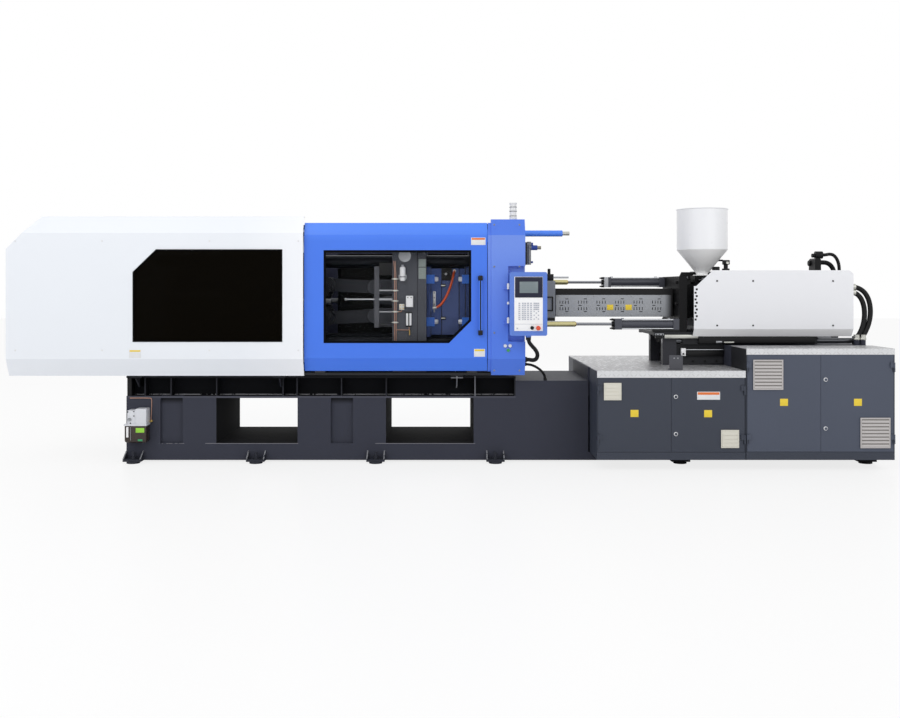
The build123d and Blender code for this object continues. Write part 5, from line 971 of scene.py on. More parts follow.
class MACHINE_OT_finishes(MachineOperator, bpy.types.Operator):
    """Makes the paints, metals and plastics, and gives them to the frame's nodes"""

    bl_idname = "machine.finishes"
    bl_label = "Finishes"

    def build(self):
        self.make_paints()
        self.make_zoned_paints()
        self.make_metals()
        self.make_plastics()
        checker_plate("checker_plate")
        for finish, nodes in NODE_FINISHES.items():
            for node in nodes.split():
                slots = NODES[node].data.materials
                slots.clear()
                slots.append(bpy.data.materials[finish])

    def make_paints(self):
        cabinet, platen = self.colours.cabinet, self.colours.platen
        paint("cabinet_grey", cabinet, 0.5, CABINET_SKIN, 0.04, shine=0.35)
        paint("cabinet_light", shade(cabinet, 1.75), 0.5, CABINET_SKIN, 0.04, shine=0.35)
        paint("tail_paint", platen, 0.5, CAST_SKIN, 0.08, shine=0.3)
        paint("motor_paint", srgb(66, 92, 118), 0.45, (120.0, 0.0002))
        paint("injection_paint", srgb(15, 15, 17), 0.5, CAST_SKIN, 0.08, shine=0.15)
        paint("carriage_paint", srgb(31, 32, 36), 0.5, FRAME_SKIN, 0.08, shine=0.25)
        paint("frame_grey", srgb(76, 77, 83), 0.5, FRAME_SKIN, 0.08, shine=0.3)
        paint("vent_shadow", srgb(126, 122, 119), 0.5, VENT_SKIN, 0.02)
        paint("vent_cream", self.colours.vent, 0.45, VENT_SKIN, 0.02)
        paint("vent_pink", srgb(190, 186, 185), 0.45, VENT_SKIN, 0.02)
        paint("black_paint", srgb(*DARK), 0.45, (200.0, 0.0001), 0.1, shine=0.25)
        paint("pump_paint", srgb(216, 218, 224), 0.36, FRAME_SKIN, 0.03, 0.1)

    def make_zoned_paints(self):
        colours = self.colours
        right = zone(lambda f: ((f.x + 2.0) * 1.4).clamped(), (247, 249, 253), 0.32)
        paint("guard_white", colours.guard, 0.32, SHEET_SKIN, 0.008, 0.3, (right,))
        # Painted light: the guard's low fold, which faces down, is painted whiter than the rest
        low_fold = zone(lambda f: f.z < 1.321, (254, 254, 255), 0.34)
        paint("drive_guard_white", srgb(240, 241, 245), 0.34, SHEET_SKIN, 0.008, 0.2, (low_fold,))
        # Painted shade: the faces just inside the doors' fronts are painted dark navy
        inner = zone(lambda f: f.inside(z=(1.055, 2.26)) * ((abs(f.y) > 0.7545) * (abs(f.y) < 0.758)),
                     (16, 20, 52), 0.5)
        # Painted light: the doors grow lighter blue over their top strip
        top = zone(lambda f: ((f.z - 2.2) * 8.0).clamped(), (76, 136, 250), 0.36)
        shoe = zone(lambda f: f.z < 0.9205, BLACK, 0.5)
        paint("door_blue", colours.door, 0.36, SHEET_SKIN, 0.03, 0.15, (inner, top, shoe))
        paint("bed_paint", colours.bed, 0.55, BED_SKIN, 0.06, 0.0, bed_zones(), 0.12)
        # Painted highlights: broken light lines on the sloped front edges of the feet's cheeks
        cheek = zone(lambda f: cheek_edges(f) * (f.noise(40.0, 3.0, 0.6) > 0.42), (150, 151, 156), 0.4, 0.2)
        far_feet = zone(lambda f: f.x > 2.0, BLACK, 0.5)
        paint("foot_paint", srgb(48, 50, 58), 0.55, BED_SKIN, 0.06, 0.0, (cheek, far_feet), 0.15)
        # Painted reflection: the covers grow paler blue upwards
        pale = zone(lambda f: ((f.z - 1.25) * 1.1).clamped() * (f.z < 2.259), (108, 143, 232), 0.36)
        paint("cover_blue", srgb(72, 120, 230), 0.36, SHEET_SKIN, 0.03, 0.15, (pale,))
        # Painted light: the hopper's cone, which faces down, is painted pure white
        cone = zone(lambda f: f.z < 2.142, (255, 255, 255), 0.4)
        paint("hopper_paint", colours.hopper, 0.3, (30.0, 0.00004), 0.012, 0.2, (cone,))
        gear = box_zone((176, 170, 158), 0.5, x=(2.9, 4.28), y=(-0.735, -0.57))
        step = box_zone((30, 31, 35), 0.5, x=(2.86, 2.8815), z=(0.950, 1.166))
        paint("cabinet_frame", colours.cabinet, 0.5, CABINET_SKIN, 0.04, 0.0, (gear, step), 0.35)
        band = zone(lambda f: f.z > 1.667, DARK, 0.45)
        far = zone(lambda f: ((f.x - 2.30) * 14.0).clamped(), DARK, 0.45)
        paint("barrel_cover_paint", srgb(164, 167, 172), 0.42, COVER_SKIN, 0.05, 0.0, (band, far), 0.25)
        top = zone(lambda f: f.z > 1.816, DARK, 0.45)
        low = zone(lambda f: f.z < 1.434, DARK, 0.45)
        grip = zone(lambda f: f.y < -0.2515, DARK, 0.45)
        paint("purge_paint", srgb(118, 122, 130), 0.42, COVER_SKIN, 0.05, 0.0, (top, low, grip))
        bar_height = (1.95, 2.4)
        beyond = box_zone((34, 35, 38), 0.45, x=(0.63, 1.2), z=bar_height)
        collar = box_zone((122, 124, 130), 0.35, 0.6, x=(0.829, 0.873), z=bar_height)
        coil = box_zone((46, 72, 152), 0.4, x=(0.873, 0.933), z=bar_height)
        end = box_zone((144, 138, 122), 0.4, 0.6, x=(0.933, 1.2), z=bar_height)
        seam = zone(lambda f: f.inside(x=(-0.272, -0.264)) * (abs(f.y) > 0.599), (26, 26, 30), 0.5)
        zones = (beyond, collar, coil, end, seam)
        paint("platen_paint", colours.platen, 0.5, CAST_SKIN, 0.12, 0.0, zones, 0.3)
        hoses = zone(lambda f: f.x > 3.82, DARK, 0.5)
        paint("drive_paint", srgb(18, 18, 21), 0.5, CAST_SKIN, 0.08, 0.0, (hoses,), 0.2)
        rods = zone(tie_rods, (200, 202, 206), 0.3, 1.0)
        flange = box_zone((190, 192, 196), 0.4, 0.3, x=(1.7, 1.786), z=(1.72, 1.9))
        paint("cylinder_paint", srgb(66, 68, 78), 0.4, FRAME_SKIN, 0.06, 0.0, (flange, rods))
        rod = (142, 144, 150)
        rails = zone(lambda f: f.near(abs(f.y), f.z, (0.3, 1.2), 0.0295), (100, 102, 106), 0.3, 0.8)
        upper = zone(lambda f: f.near(f.y, f.z, CYLINDERS[0], 0.03), rod, 0.16, 1.0)
        lower = zone(lambda f: f.near(f.y, f.z, CYLINDERS[1], 0.03), rod, 0.16, 1.0)
        purge = zone(lambda f: f.near(abs(f.y), f.z, (0.06, 1.853), 0.02), (206, 208, 212), 0.2, 1.0)
        sleeves = zone(lambda f: f.inside(x=(0.625, 1.346), z=(1.30, 1.842)) * (1.0 - f.inside(y=(-0.2, 0.2))),
                       (196, 188, 140), 0.3, 0.9)
        zones = (rails, upper, lower, purge, sleeves)
        paint("guide_paint", srgb(46, 47, 53), 0.5, BED_SKIN, 0.06, 0.0, zones, 0.3)

    def make_metals(self):
        turned = (1.0, 6.0, 6.0)
        metal("steel", srgb(150, 152, 156), 0.34)
        metal("chrome", srgb(172, 174, 178), 0.22, turned, 0.04)
        metal("dark_bar", srgb(34, 35, 39), 0.45, turned, 0.04)
        metal("zinc", srgb(190, 190, 184), 0.36)
        metal("brass", srgb(196, 166, 96), 0.32)
        metal("copper", srgb(186, 146, 128), 0.4)
        metal("link_steel", srgb(54, 55, 59), 0.5)
        metal("barrel_steel", srgb(140, 140, 142), 0.4, (8.0, 1.0, 1.0))
        mould = self.colours.mould
        metal("mould_steel", mould, 0.38, (6.0, 1.0, 6.0), 0.08, mould_zones(shade(mould, 1.2)))

    def make_plastics(self):
        plastic("hose_rubber", srgb(*NEAR_BLACK), 0.5, 500.0, 0.0001, shine=0.25)
        plastic("seal_rubber", srgb(9, 9, 11), 0.7, shine=0.06)
        plastic("black_plastic", srgb(*NEAR_BLACK), 0.45, shine=0.3)
        plastic("mould_hose", srgb(214, 84, 36), 0.4)
        plastic("white_plastic", srgb(228, 229, 231), 0.36, coat=0.2)
        plastic("panel_blue", srgb(88, 126, 212), 0.34, coat=0.15)
        plastic("panel_white", srgb(250, 251, 254), 0.4)
        plastic("key_grey", srgb(186, 190, 200), 0.5)
        plastic("red_plastic", srgb(222, 78, 48), 0.3, coat=0.2)
        plastic("green_plastic", srgb(40, 150, 70), 0.3, coat=0.3)
        plastic("yellow_plate", srgb(236, 206, 56), 0.4)
        plastic("orange_plate", srgb(226, 116, 50), 0.4)
        plastic("reservoir", srgb(44, 29, 21), 0.2, 200.0, 0.00002, 0.2)
        plastic("plain_green", srgb(150, 214, 62), 0.4)
        plastic("dark_green", srgb(52, 150, 96), 0.4)
        plastic("tag_grey", srgb(132, 142, 138), 0.4)
        plastic("bezel_navy", srgb(30, 32, 52), 0.35, shine=0.3)
        # Painted shade: a nearly opaque dark pane stands for the dark inside of the machine behind the guard windows
        # and the rear door's window
        pane("smoked_pane", srgb(8, 6, 3), 0.965, 0.12, 0.02)
        pane("clear_pane", srgb(60, 66, 70), 0.025, 0.08, 0.06)
        glow("display", srgb(112, 124, 128), 0.12)


# Which finish each node of the frame gets
NODE_FINISHES = {
    "guard_white": "clamp_guards",
    "drive_guard_white": "injection_guard",
    "door_blue": "safety_door_front safety_door_rear safety_bar_tube",
    "cover_blue": "platen_covers",
    "bed_paint": "clamp_bed injection_bed",
    "foot_paint": "levelling_feet",
    "carriage_paint": "guard_frame carriage_base",
    "cabinet_frame": "front_cabinets",
    "cabinet_grey": "rear_cabinets cabinet_door_low_left cabinet_door_low_right",
    "cabinet_light": "cabinet_door_high_left cabinet_door_high_right",
    "checker_plate": "deck_plates",
    "platen_paint": "fixed_platen moving_platen",
    "tail_paint": "tail_platen",
    "motor_paint": "pump_motor",
    "injection_paint": "injection_housing",
    "drive_paint": "injection_plate",
    "guide_paint": "carriage_guides",
    "cylinder_paint": "carriage_cylinders",
    "purge_paint": "purge_guard",
    "barrel_cover_paint": "barrel_cover",
    "barrel_steel": "barrel",
    "hopper_paint": "hopper",
    "steel": "screw hopper_gate clamp_cylinder die_height_nuts ejector_plate",
    "dark_bar": "tie_bars",
    "chrome": "safety_bar",
    "link_steel": "crosshead cross_link_upper cross_link_lower front_link_upper front_link_lower "
                  "rear_link_upper rear_link_lower",
    "mould_steel": "mould_fixed_half mould_moving_half",
    # The nearly opaque dark pane is painted shade for the inside of the machine
    "smoked_pane": "guard_windows door_window_rear",
    "clear_pane": "door_window_front",
    "panel_blue": "control_panel",
    "red_plastic": "emergency_stop",
    "black_plastic": "selector_knob",
    "white_plastic": "start_button stop_button signal_tower",
    "green_plastic": "reset_button",
    "pump_paint": "lubrication_pump",
    "hose_rubber": "hydraulic_hoses panel_conduits",
    "mould_hose": "mould_hoses",
}


# Places shared by the fittings, in metres

GUARD_FACE = 0.800
DOOR_FACE = 0.760
CABINET_FACE = -1.050
PANEL_FACE = -0.917
PLATEN_FACE = -0.600
MOULD_FACE = -0.350
DRIVE_GUARD_FACE = -0.450
BARREL_COVER_FACE = -0.170
DECK_TOP = 0.9505


def cut_outline(left, right, low, high, cut_x=0.0, cut_z=0.0, corner=None):
    """The corner points of a window with one corner cut off."""
    points = [(left, low), (right, low), (right, high), (left, high)]
    if corner == "top_left":
        points[3:] = [(left + cut_x, high), (left, high - cut_z)]
    if corner == "bottom_right":
        points[1:2] = [(right - cut_x, low), (right, low + cut_z)]
    return points


def grown(points, reach):
    """An outline with its upright and level sides moved outwards."""
    middle_x = (min(x for x, _ in points) + max(x for x, _ in points)) / 2
    middle_z = (min(z for _, z in points) + max(z for _, z in points)) / 2
    return [(x + math.copysign(reach, x - middle_x), z + math.copysign(reach, z - middle_z)) for x, z in points]


class MACHINE_OT_guard_fittings(MachineOperator, bpy.types.Operator):
    """Adds the window strips, screws and blank plates of the clamp guard"""

    bl_idname = "machine.guard_fittings"
    bl_label = "Clamp guard"

    def build(self):
        window = grown(cut_outline(-3.047, -1.590, 1.216, 2.115, 0.229, 0.222, "top_left"), 0.004)
        width = self.details.gasket * 0.8
        for out, side in SIDES:
            front, back = out * (GUARD_FACE + 0.004), out * (GUARD_FACE - 0.004)
            dress(frame_strip(f"guard_window_strip_{side}", window, width, front, back), "root", "seal_rubber")
        blank_plate("guard_blank_plate", "guard_plate_strip", (-3.086, -2.969), (1.055, 1.136), -GUARD_FACE, 0.020,
                    "root", "yellow_plate")
        places = [(x, -GUARD_FACE, z) for x in (-4.2, -3.35, -1.43, -2.3) for z in (1.13, 2.2)]
        screws_both_sides("guard_screws", places, 0.016, "root", "white_plastic")


class MACHINE_OT_door_fittings(MachineOperator, bpy.types.Operator):
    """Adds the window strips, handles and blank plates of the safety doors"""

    bl_idname = "machine.door_fittings"
    bl_label = "Safety doors"

    def build(self):
        window = cut_outline(-1.176, 0.254, 1.209, 2.102, 0.219, 0.218, "bottom_right")
        for out, side in SIDES:
            body = f"{side}_door"
            for name, reach, width, proud, depth in (
                ("strip", 0.004, self.details.gasket, 0.004, 0.004),
                ("lip", -0.010, 0.012, 0.0025, 0.010),
            ):
                front, back = out * (DOOR_FACE + proud), out * (DOOR_FACE - depth)
                rubber = frame_strip(f"door_window_{name}_{side}", grown(window, reach), width, front, back)
                dress(rubber, body, "seal_rubber")
            low, high = (0.354, out * 0.804, 1.32), (0.354, out * 0.804, 1.82)
            rod(f"door_grip_{side}", low, high, 0.0155, 0.004, body, "black_plastic")
            near, far = sorted((out * 0.759, out * 0.822))
            for level, z in (("low", 1.277), ("high", 1.811)):
                plate(f"door_grip_foot_{side}_{level}", (0.332, near, z), (0.376, far, z + 0.052), body,
                      "black_plastic", 0.006)
        for name, x, z, finish in (
            ("door_top_plate", (0.263, 0.405), (2.163, 2.236), "orange_plate"),
            ("door_low_plate", (0.292, 0.400), (1.065, 1.141), "yellow_plate"),
        ):
            blank_plate(name, f"{name}_strip", x, z, -DOOR_FACE, 0.022, "front_door", finish)


class MACHINE_OT_operator_panel(MachineOperator, bpy.types.Operator):
    """Adds the screen, keys, lamp and hinge leaves of the operator panel"""

    bl_idname = "machine.operator_panel"
    bl_label = "Operator panel"

    def build(self):
        body, front = "control_panel", PANEL_FACE
        sheet = front - 0.0012
        plate("panel_sheet", (0.6765, sheet, 1.3245), (0.9525, front + 0.002, 1.8495), body, "panel_white", 0.0005)
        bezel = frame_strip("screen_bezel", cut_outline(0.683, 0.950, 1.648, 1.846), 0.044, front - 0.006, front)
        dress(round_edges(bezel, 0.002), body, "bezel_navy")
        plate("screen", (0.726, front - 0.004, 1.670), (0.908, front, 1.814), body, "display", 0.001)
        self.add_keys(body, sheet)
        plate("panel_divider", (0.682, front - 0.0022, 1.389), (0.949, front - 0.0010, 1.3925), body, "key_grey",
              0.0004)
        ring = disc("selector_collar", (0.849, front - 0.0005, 1.354), 0.0045, 0.018, 0.004, 0.0015, 32)
        dress(ring, body, "black_plastic")
        lamp = disc("panel_lamp", (0.705, front - 0.001, 1.350), 0.005, 0.007, 0.002, 0.001, 20)
        dress(lamp, body, "key_grey")
        for number, (low, high) in enumerate(((1.731, 1.783), (1.583, 1.603), (1.400, 1.453))):
            rod(f"panel_knuckle_{number}", (0.621, -0.872, low), (0.621, -0.872, high), 0.0125, 0.003, body,
                "white_plastic")
            plate(f"panel_knuckle_leaf_{number}", (0.621, -0.874, low + 0.003), (0.636, -0.866, high - 0.003), body,
                  "white_plastic")

    def add_keys(self, body, sheet):
        """Nine rows of keys, with round arrow keys below the fourth row at the right."""
        side = self.details.key_size
        key = round_edges(cube("key", (-side / 2, -0.0040, -side * 0.36), (side / 2, 0, side * 0.36)), 0.0012)
        columns = (0.725, 0.758, 0.781, 0.809, 0.838, 0.870, 0.889, 0.908)
        places = [(x, sheet, 1.592 - row * 0.0193) for x in columns for row in range(9 if x < 0.87 else 4)]
        dress(repeat("panel_keys", key, places), body, "key_grey")
        dot = disc("dot", (0, 0, 0), 0.0042, 0.0062, 0.0015, 0.0006, 16)
        offsets = [(0, 0.021), (0, -0.021), (0.021, 0), (-0.021, 0)]
        offsets += [(x, z) for x in (-0.021, 0.021) for z in (-0.037, 0.037)]
        places = [(0.889 + dx, sheet, 1.477 + dz) for dx, dz in offsets]
        dress(repeat("panel_arrow_keys", dot, places), body, "key_grey")


class MACHINE_OT_cover_fittings(MachineOperator, bpy.types.Operator):
    """Adds button collars, screws, the ends of the safety bar and lamp rings on the platen cover"""

    bl_idname = "machine.cover_fittings"
    bl_label = "Platen cover"

    def build(self):
        face, bar_height = -0.78, 2.317
        collar = disc("collar", (0, 0, 0), 0.005, 0.022, 0.005, 0.0015, 28)
        places = [(x, face, z) for x, z in ((0.597, 1.173), (0.645, 1.173), (0.627, 1.130))]
        dress(repeat("button_collars", collar, places), "root", "steel")
        places = [(x, face, z) for x in (0.49, 0.737) for z in (0.93, 1.30, 1.95, 2.36)]
        screws_both_sides("cover_screws", places, 0.018, "root", "steel")
        ring = capped("safety_tube_end", (1.2235, 0, bar_height), (1.250, 0, bar_height), 0.033, 0.003, 40)
        dress(bored(ring, [((1.20, 0, bar_height), (1.28, 0, bar_height), 0.0226)]), "root", "door_blue")
        rod("safety_bar_end", (1.168, 0, bar_height), (1.325, 0, bar_height), 0.0218, 0.002, "moving_platen", "zinc",
            32)
        band = bar("band", (0.684, -0.650, 0), (0.684, -0.650, 0.006), 0.0385, 32)
        inset_face(band, (0, 0, 1), 0.003, 0.001)
        dress(repeat("tower_bands", band, [(0, 0, z) for z in (2.452, 2.497, 2.540)]), "root", "steel")


class MACHINE_OT_cabinet_fittings(MachineOperator, bpy.types.Operator):
    """Adds vents, latch rings and plain marks to the cabinets' doors"""

    bl_idname = "machine.cabinet_fittings"
    bl_label = "Cabinets"

    VENTS = (
        ("low_left", (1.520, 1.687), (0.671, 0.836), "vent_cream"),
        ("low_right", (2.636, 2.808), (0.216, 0.388), "vent_cream"),
        ("high_left", (2.943, 3.229), (0.770, 1.057), "vent_pink"),
        ("high_right", (3.964, 4.250), (0.214, 0.504), "vent_pink"),
    )
    MARKS = (("low_left", 1.813, 0.544), ("low_right", 2.515, 0.542), ("high_left", 3.239, 0.650),
             ("high_right", 3.944, 0.650))
    LATCHES = (("low_right", 2.206, (0.704, 0.348)), ("high_right", 3.634, (0.867, 0.401)))

    def build(self):
        front, back = CABINET_FACE - 0.0012, CABINET_FACE + 0.0005
        for vent in self.VENTS:
            self.add_vent(*vent)
        for door, x, z in self.MARKS:
            plate(f"plain_mark_{door}", (x - 0.038, front, z - 0.034), (x + 0.038, back, z + 0.034), f"{door}_door",
                  "yellow_plate", 0.0005)
        plate("cabinet_blank_plate", (2.410, front, 0.675), (2.629, back, 0.751), "low_right_door", "white_plastic",
              0.0005)
        plate("cabinet_plate_strip", (2.416, CABINET_FACE - 0.0018, 0.722), (2.623, CABINET_FACE - 0.0009, 0.746),
              "low_right_door", "orange_plate", 0.0004)
        for door, x, heights in self.LATCHES:
            ring = disc("latch", (0, 0.004, 0), 0.014, 0.019, 0.005, 0.002, 28)
            rings = repeat(f"latch_rings_{door}", ring, [(x, CABINET_FACE, z) for z in heights])
            dress(rings, f"{door}_door", "white_plastic")

    def add_vent(self, door, across, up, finish):
        """A raised rim, a plate behind it and sloped slats."""
        body = f"{door}_door"
        y = CABINET_FACE - 0.008
        rim = frame_strip(f"vent_rim_{door}", cut_outline(*across, *up), 0.012, y - 0.004, y)
        dress(round_edges(rim, 0.0012, 1), body, finish)
        narrow, back = (0.86, finish) if finish == "vent_cream" else (0.62, "vent_shadow")
        plate(f"vent_back_{door}", (across[0] + 0.006, y - 0.0015, up[0] + 0.006),
              (across[1] - 0.006, y + 0.0010, up[1] - 0.006), body, back, 0.0004)
        left, right = across[0] + 0.014, across[1] - 0.014
        count = round((up[1] - up[0] - 0.03) / self.details.slat_pitch)
        pitch = (up[1] - up[0] - 0.028) / count
        slat = cube("slat", (left, y - 0.0060, 0), (right, y - 0.0010, pitch * narrow))
        shift(slat, "EDGE", lambda edge: all(v.co.y < y - 0.004 and v.co.z > pitch * 0.5 for v in edge.verts),
              (0, 0.0030, 0))
        slats = repeat(f"vent_slats_{door}", slat, [(0, 0, up[0] + 0.014 + pitch * n) for n in range(count)])
        dress(slats, body, finish)


class MACHINE_OT_purge_guard(MachineOperator, bpy.types.Operator):
    """Makes the hood over the nozzle with its slide blocks, skirts, knob and handles"""

    bl_idname = "machine.purge_guard"
    bl_label = "Purge guard"

    def build(self):
        body, black = "purge_guard", "black_paint"
        hood = cube("purge_hood", (0.800, -0.250, 1.433), (1.150, 0.250, 1.814))
        pick(hood, "FACE", lambda face: face.normal.z < -0.9 or abs(face.normal.x) > 0.9)
        bpy.ops.mesh.delete(type="FACE")
        done()
        round_edges(hood, 0.010, 3)
        wall = hood.modifiers.new("Sheet", "SOLIDIFY")
        wall.thickness = 0.004
        wall.offset = -1
        dress(apply_modifiers(hood), body, "purge_paint")
        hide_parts("purge_guard")
        for name, left, right in (("near", 0.802, 0.866), ("far", 1.046, 1.150)):
            block = round_edges(cube(f"purge_block_{name}", (left, -0.100, 1.8145), (right, 0.100, 1.886)), 0.004)
            bores = [((left - 0.01, y, 1.853), (right + 0.01, y, 1.853), 0.0125) for y in (-0.06, 0.06)]
            dress(bored(block, bores), body, black)
        both_plates("purge_skirt", (0.802, 1.148), (0.2505, 0.236), (1.398, 1.4325), body, black, 0.003)
        for out, side in SIDES:
            outline = cut_outline(0.985, 1.127, 1.501, 1.651)
            handle = frame_strip(f"purge_handle_{side}", outline, 0.012, out * 0.264, out * 0.2502)
            dress(round_edges(handle, 0.004, 3), body, black)
        knob = bar("purge_knob", (1.112, 0, 1.885), (1.112, 0, 1.944), 0.016, 24)
        dress(round_top(knob, 0.009, 4), body, black)


class MACHINE_OT_barrel_fittings(MachineOperator, bpy.types.Operator):
    """Adds the tie rod nuts of the pull-in cylinders and the plates and bolts round the barrel"""

    bl_idname = "machine.barrel_fittings"
    bl_label = "Barrel and pull-in cylinders"

    def build(self):
        corners = (-TIE_ROD_OFFSET, TIE_ROD_OFFSET)
        places = [(1.7425, y + dy, z + dz) for y, z in CYLINDERS for dy in corners for dz in corners]
        nut = faceted("nut", (0, 0, 0), (0, 0, 0.018), 0.0135, 0.0014)
        stud = inset_face(bar("stud", (0, 0, 0.017), (0, 0, 0.034), 0.0075, 16), (0, 0, 1), 0.002, 0.002)
        dress(repeat("tie_rod_nuts", join("nut", [nut, stud]), places, "-X"), "carriage", "black_paint")
        for number, (y, z) in enumerate(CYLINDERS):
            gland = capped(f"rod_gland_{number}", (1.722, y, z), (1.7425, y, z), 0.030, 0.003, 32)
            dress(bored(gland, [((1.70, y, z), (1.76, y, z), 0.0165)]), "carriage", "black_paint")
            for side, x in (("near", 1.830), ("far", 2.310)):
                port = faceted(f"port_{number}_{side}", (x, y, z + 0.040), (x, y, z + 0.062), 0.016, 0.001)
                dress(port, "carriage", "steel")
            ring = capped(f"sleeve_end_{number}", (1.3455, y, z), (1.352, y, z), 0.022, 0.002)
            dress(bored(ring, [((1.33, y, z), (1.37, y, z), 0.0152)]), "root", "brass")
        face = BARREL_COVER_FACE
        for number, x in enumerate((1.730, 1.923)):
            plate(f"cover_plain_mark_{number}", (x - 0.033, face - 0.0022, 1.510), (x + 0.033, face + 0.0002, 1.566),
                  "carriage", "yellow_plate", 0.0008)
        places = [(x, face, z) for x in (1.19, 1.56, 1.95, 2.26) for z in (1.4525, 1.652)]
        screws_both_sides("barrel_cover_screws", places, 0.012, "carriage", "steel")
        places = [(2.400, y, z) for y, z in ((-0.30, 1.80), (-0.30, 1.58), (0.30, 1.40), (0.30, 1.62))]
        bolts("front_plate_bolts", places, "-X", self.details.bolt, "carriage", "black_paint")
        angles = [math.tau * (n + 0.5) / 8 for n in range(8)]
        places = [(0.625, 0.30 * math.cos(a), 1.6 + 0.30 * math.sin(a)) for a in angles]
        bolts("fixed_platen_bolts", places, "+X", self.details.bolt, "root", "steel")


class MACHINE_OT_clamp_fittings(MachineOperator, bpy.types.Operator):
    """Adds the oil pot, valves, pipes, brackets and clamps that show through the door's window"""

    bl_idname = "machine.clamp_fittings"
    bl_label = "Moving platen and mould"

    def build(self):
        body = "moving_platen"
        self.add_oil_pot(body, PLATEN_FACE - 0.032)
        self.add_platen_boxes(body, PLATEN_FACE, PLATEN_FACE + 0.0005)
        self.add_lubrication_lines(body, PLATEN_FACE - 0.012)
        self.add_rear_frame(body)
        self.add_mould_clamps(body)
        self.add_mould_fittings(body, MOULD_FACE, MOULD_FACE + 0.0005)

    def add_oil_pot(self, body, y):
        x = -0.4145
        pot = bar("oil_pot", (x, y, 1.822), (x, y, 1.940), 0.0285, 28)
        inset_face(pot, (0, 0, 1), 0.010, 0.012)
        inset_face(pot, (0, 0, -1), 0.008, 0.012)
        dress(pot, body, "white_plastic")
        dress(faceted("oil_pot_cap", (x, y, 1.950), (x, y, 1.972), 0.014, 0.002, 12), body, "steel")
        ring = bar("oil_pot_strap", (x, y, 1.845), (x, y, 1.858), 0.0305, 28)
        dress(inset_face(ring, (0, 0, 1), 0.003, -0.001), body, "steel")

    def add_platen_boxes(self, body, face, back):
        """The boxes, tags and small cylinders on the platen's front; back lies just inside it."""
        for name, low, high, finish, rounding in (
            ("oil_pot_bracket", (-0.456, face - 0.006, 1.828), (-0.374, back, 1.872), "steel", None),
            ("junction_box", (-0.381, face - 0.055, 1.550), (-0.310, back, 1.663), "white_plastic", 0.005),
            ("junction_box_lid", (-0.378, face - 0.059, 1.553), (-0.313, face - 0.0545, 1.660), "white_plastic", 0.003),
            ("cylinder_bracket", (-0.386, face - 0.005, 1.352), (-0.321, back, 1.502), "black_paint", None),
            ("valve_block", (-0.448, face - 0.040, 1.521), (-0.398, back, 1.581), "zinc", 0.003),
            ("platen_tag_upper", (-0.256, face - 0.0016, 1.952), (-0.184, back, 2.030), "tag_grey", 0.0006),
            ("platen_tag_lower", (-0.256, face - 0.0016, 1.832), (-0.184, back, 1.944), "tag_grey", 0.0006),
        ):
            plate(name, low, high, body, finish, rounding)
        places = [(x, face - 0.059, 1.645) for x in (-0.362, -0.329)]
        screws("junction_box_screws", places, "-Y", 0.012, body, "black_plastic")
        places = [(x, face - 0.040, z) for x in (-0.437, -0.409) for z in (1.534, 1.568)]
        screws("valve_block_screws", places, "-Y", 0.012, body, "brass")
        tube = capped("tube", (0, 0, 1.369), (0, 0, 1.485), 0.0115, 0.003, 20)
        tubes = repeat("platen_cylinders", tube, [(x, face - 0.017, 0) for x in (-0.3700, -0.3370)])
        dress(tubes, body, "white_plastic")
        dress(disc("platen_disc", (-0.395, back, 2.062), 0.0065, 0.062, 0.018, -0.003, 48), body, "steel")

    def add_lubrication_lines(self, body, y):
        middle, front = -0.4875, y - 0.004
        for number, x in enumerate((-0.495, -0.480)):
            points = [(x, y, 1.212), (x, y, 1.5), (x, y, 1.86), (x - 0.008 * number, y, 1.93), (x - 0.010, y, 2.010)]
            pipe(f"platen_pipe_{number}", points, 0.0032, body, "copper")
        heights = (1.830, 1.714, 1.610, 1.503, 1.396)
        joint = round_edges(cube("joint", (-0.019, -0.013, -0.008), (0.019, 0.011, 0.008)), 0.002)
        dress(repeat("pipe_joints", joint, [(middle, y, z) for z in heights]), body, "zinc")
        stub = capped("stub", (-0.036, 0, 0), (0.030, 0, 0), 0.0042, 0.001, 12)
        dress(repeat("pipe_stubs", stub, [(middle, front, z) for z in heights]), body, "zinc")
        line = [(-0.475, front, 1.503), (-0.452, front, 1.503), (-0.424, y - 0.010, 1.503), (-0.423, y - 0.010, 1.521)]
        pipe("valve_pipe", line, 0.0036, body, "copper")
        line = [(-0.475, y, 1.321), (-0.40, y, 1.321), (-0.355, y, 1.321), (-0.350, y, 1.330), (-0.350, y, 1.352)]
        pipe("cylinder_pipe", line, 0.0036, body, "copper")
        rod("cylinder_drain", (-0.346, y, 1.271), (-0.346, y, 1.322), 0.0055, 0.0015, body, "brass", 16)

    def add_rear_frame(self, body):
        low, high = -0.598, -0.562
        beam = cube("rear_frame_beam", (-0.700, low, 1.345), (-0.650, high, 1.955))
        inset_face(beam, (0, -1, 0), 0.010, -0.004)
        dress(round_edges(beam, 0.003), body, "frame_grey")
        plate("rear_frame_low_arm", (-0.652, low, 1.350), (-0.5185, high, 1.384), body, "carriage_paint", 0.004)
        plate("rear_frame_block", (-0.651, low, 1.868), (-0.5185, high, 1.990), body, "black_paint", 0.006)
        for number, (z, radius) in enumerate(((1.715, 0.010), (1.624, 0.016), (1.500, 0.008))):
            rod(f"rear_frame_rod_{number}", (-0.650, -0.585, z), (-0.5185, -0.585, z), radius, 0.002, body, "steel")
        rod("rear_frame_long_rod", (-0.985, -0.580, 1.626), (-0.698, -0.580, 1.626), 0.0085, 0.002, body, "chrome")
        cap = faceted("rear_frame_rod_end", (-0.996, -0.580, 1.626), (-0.975, -0.580, 1.626), 0.014, 0.0015)
        dress(cap, body, "steel")

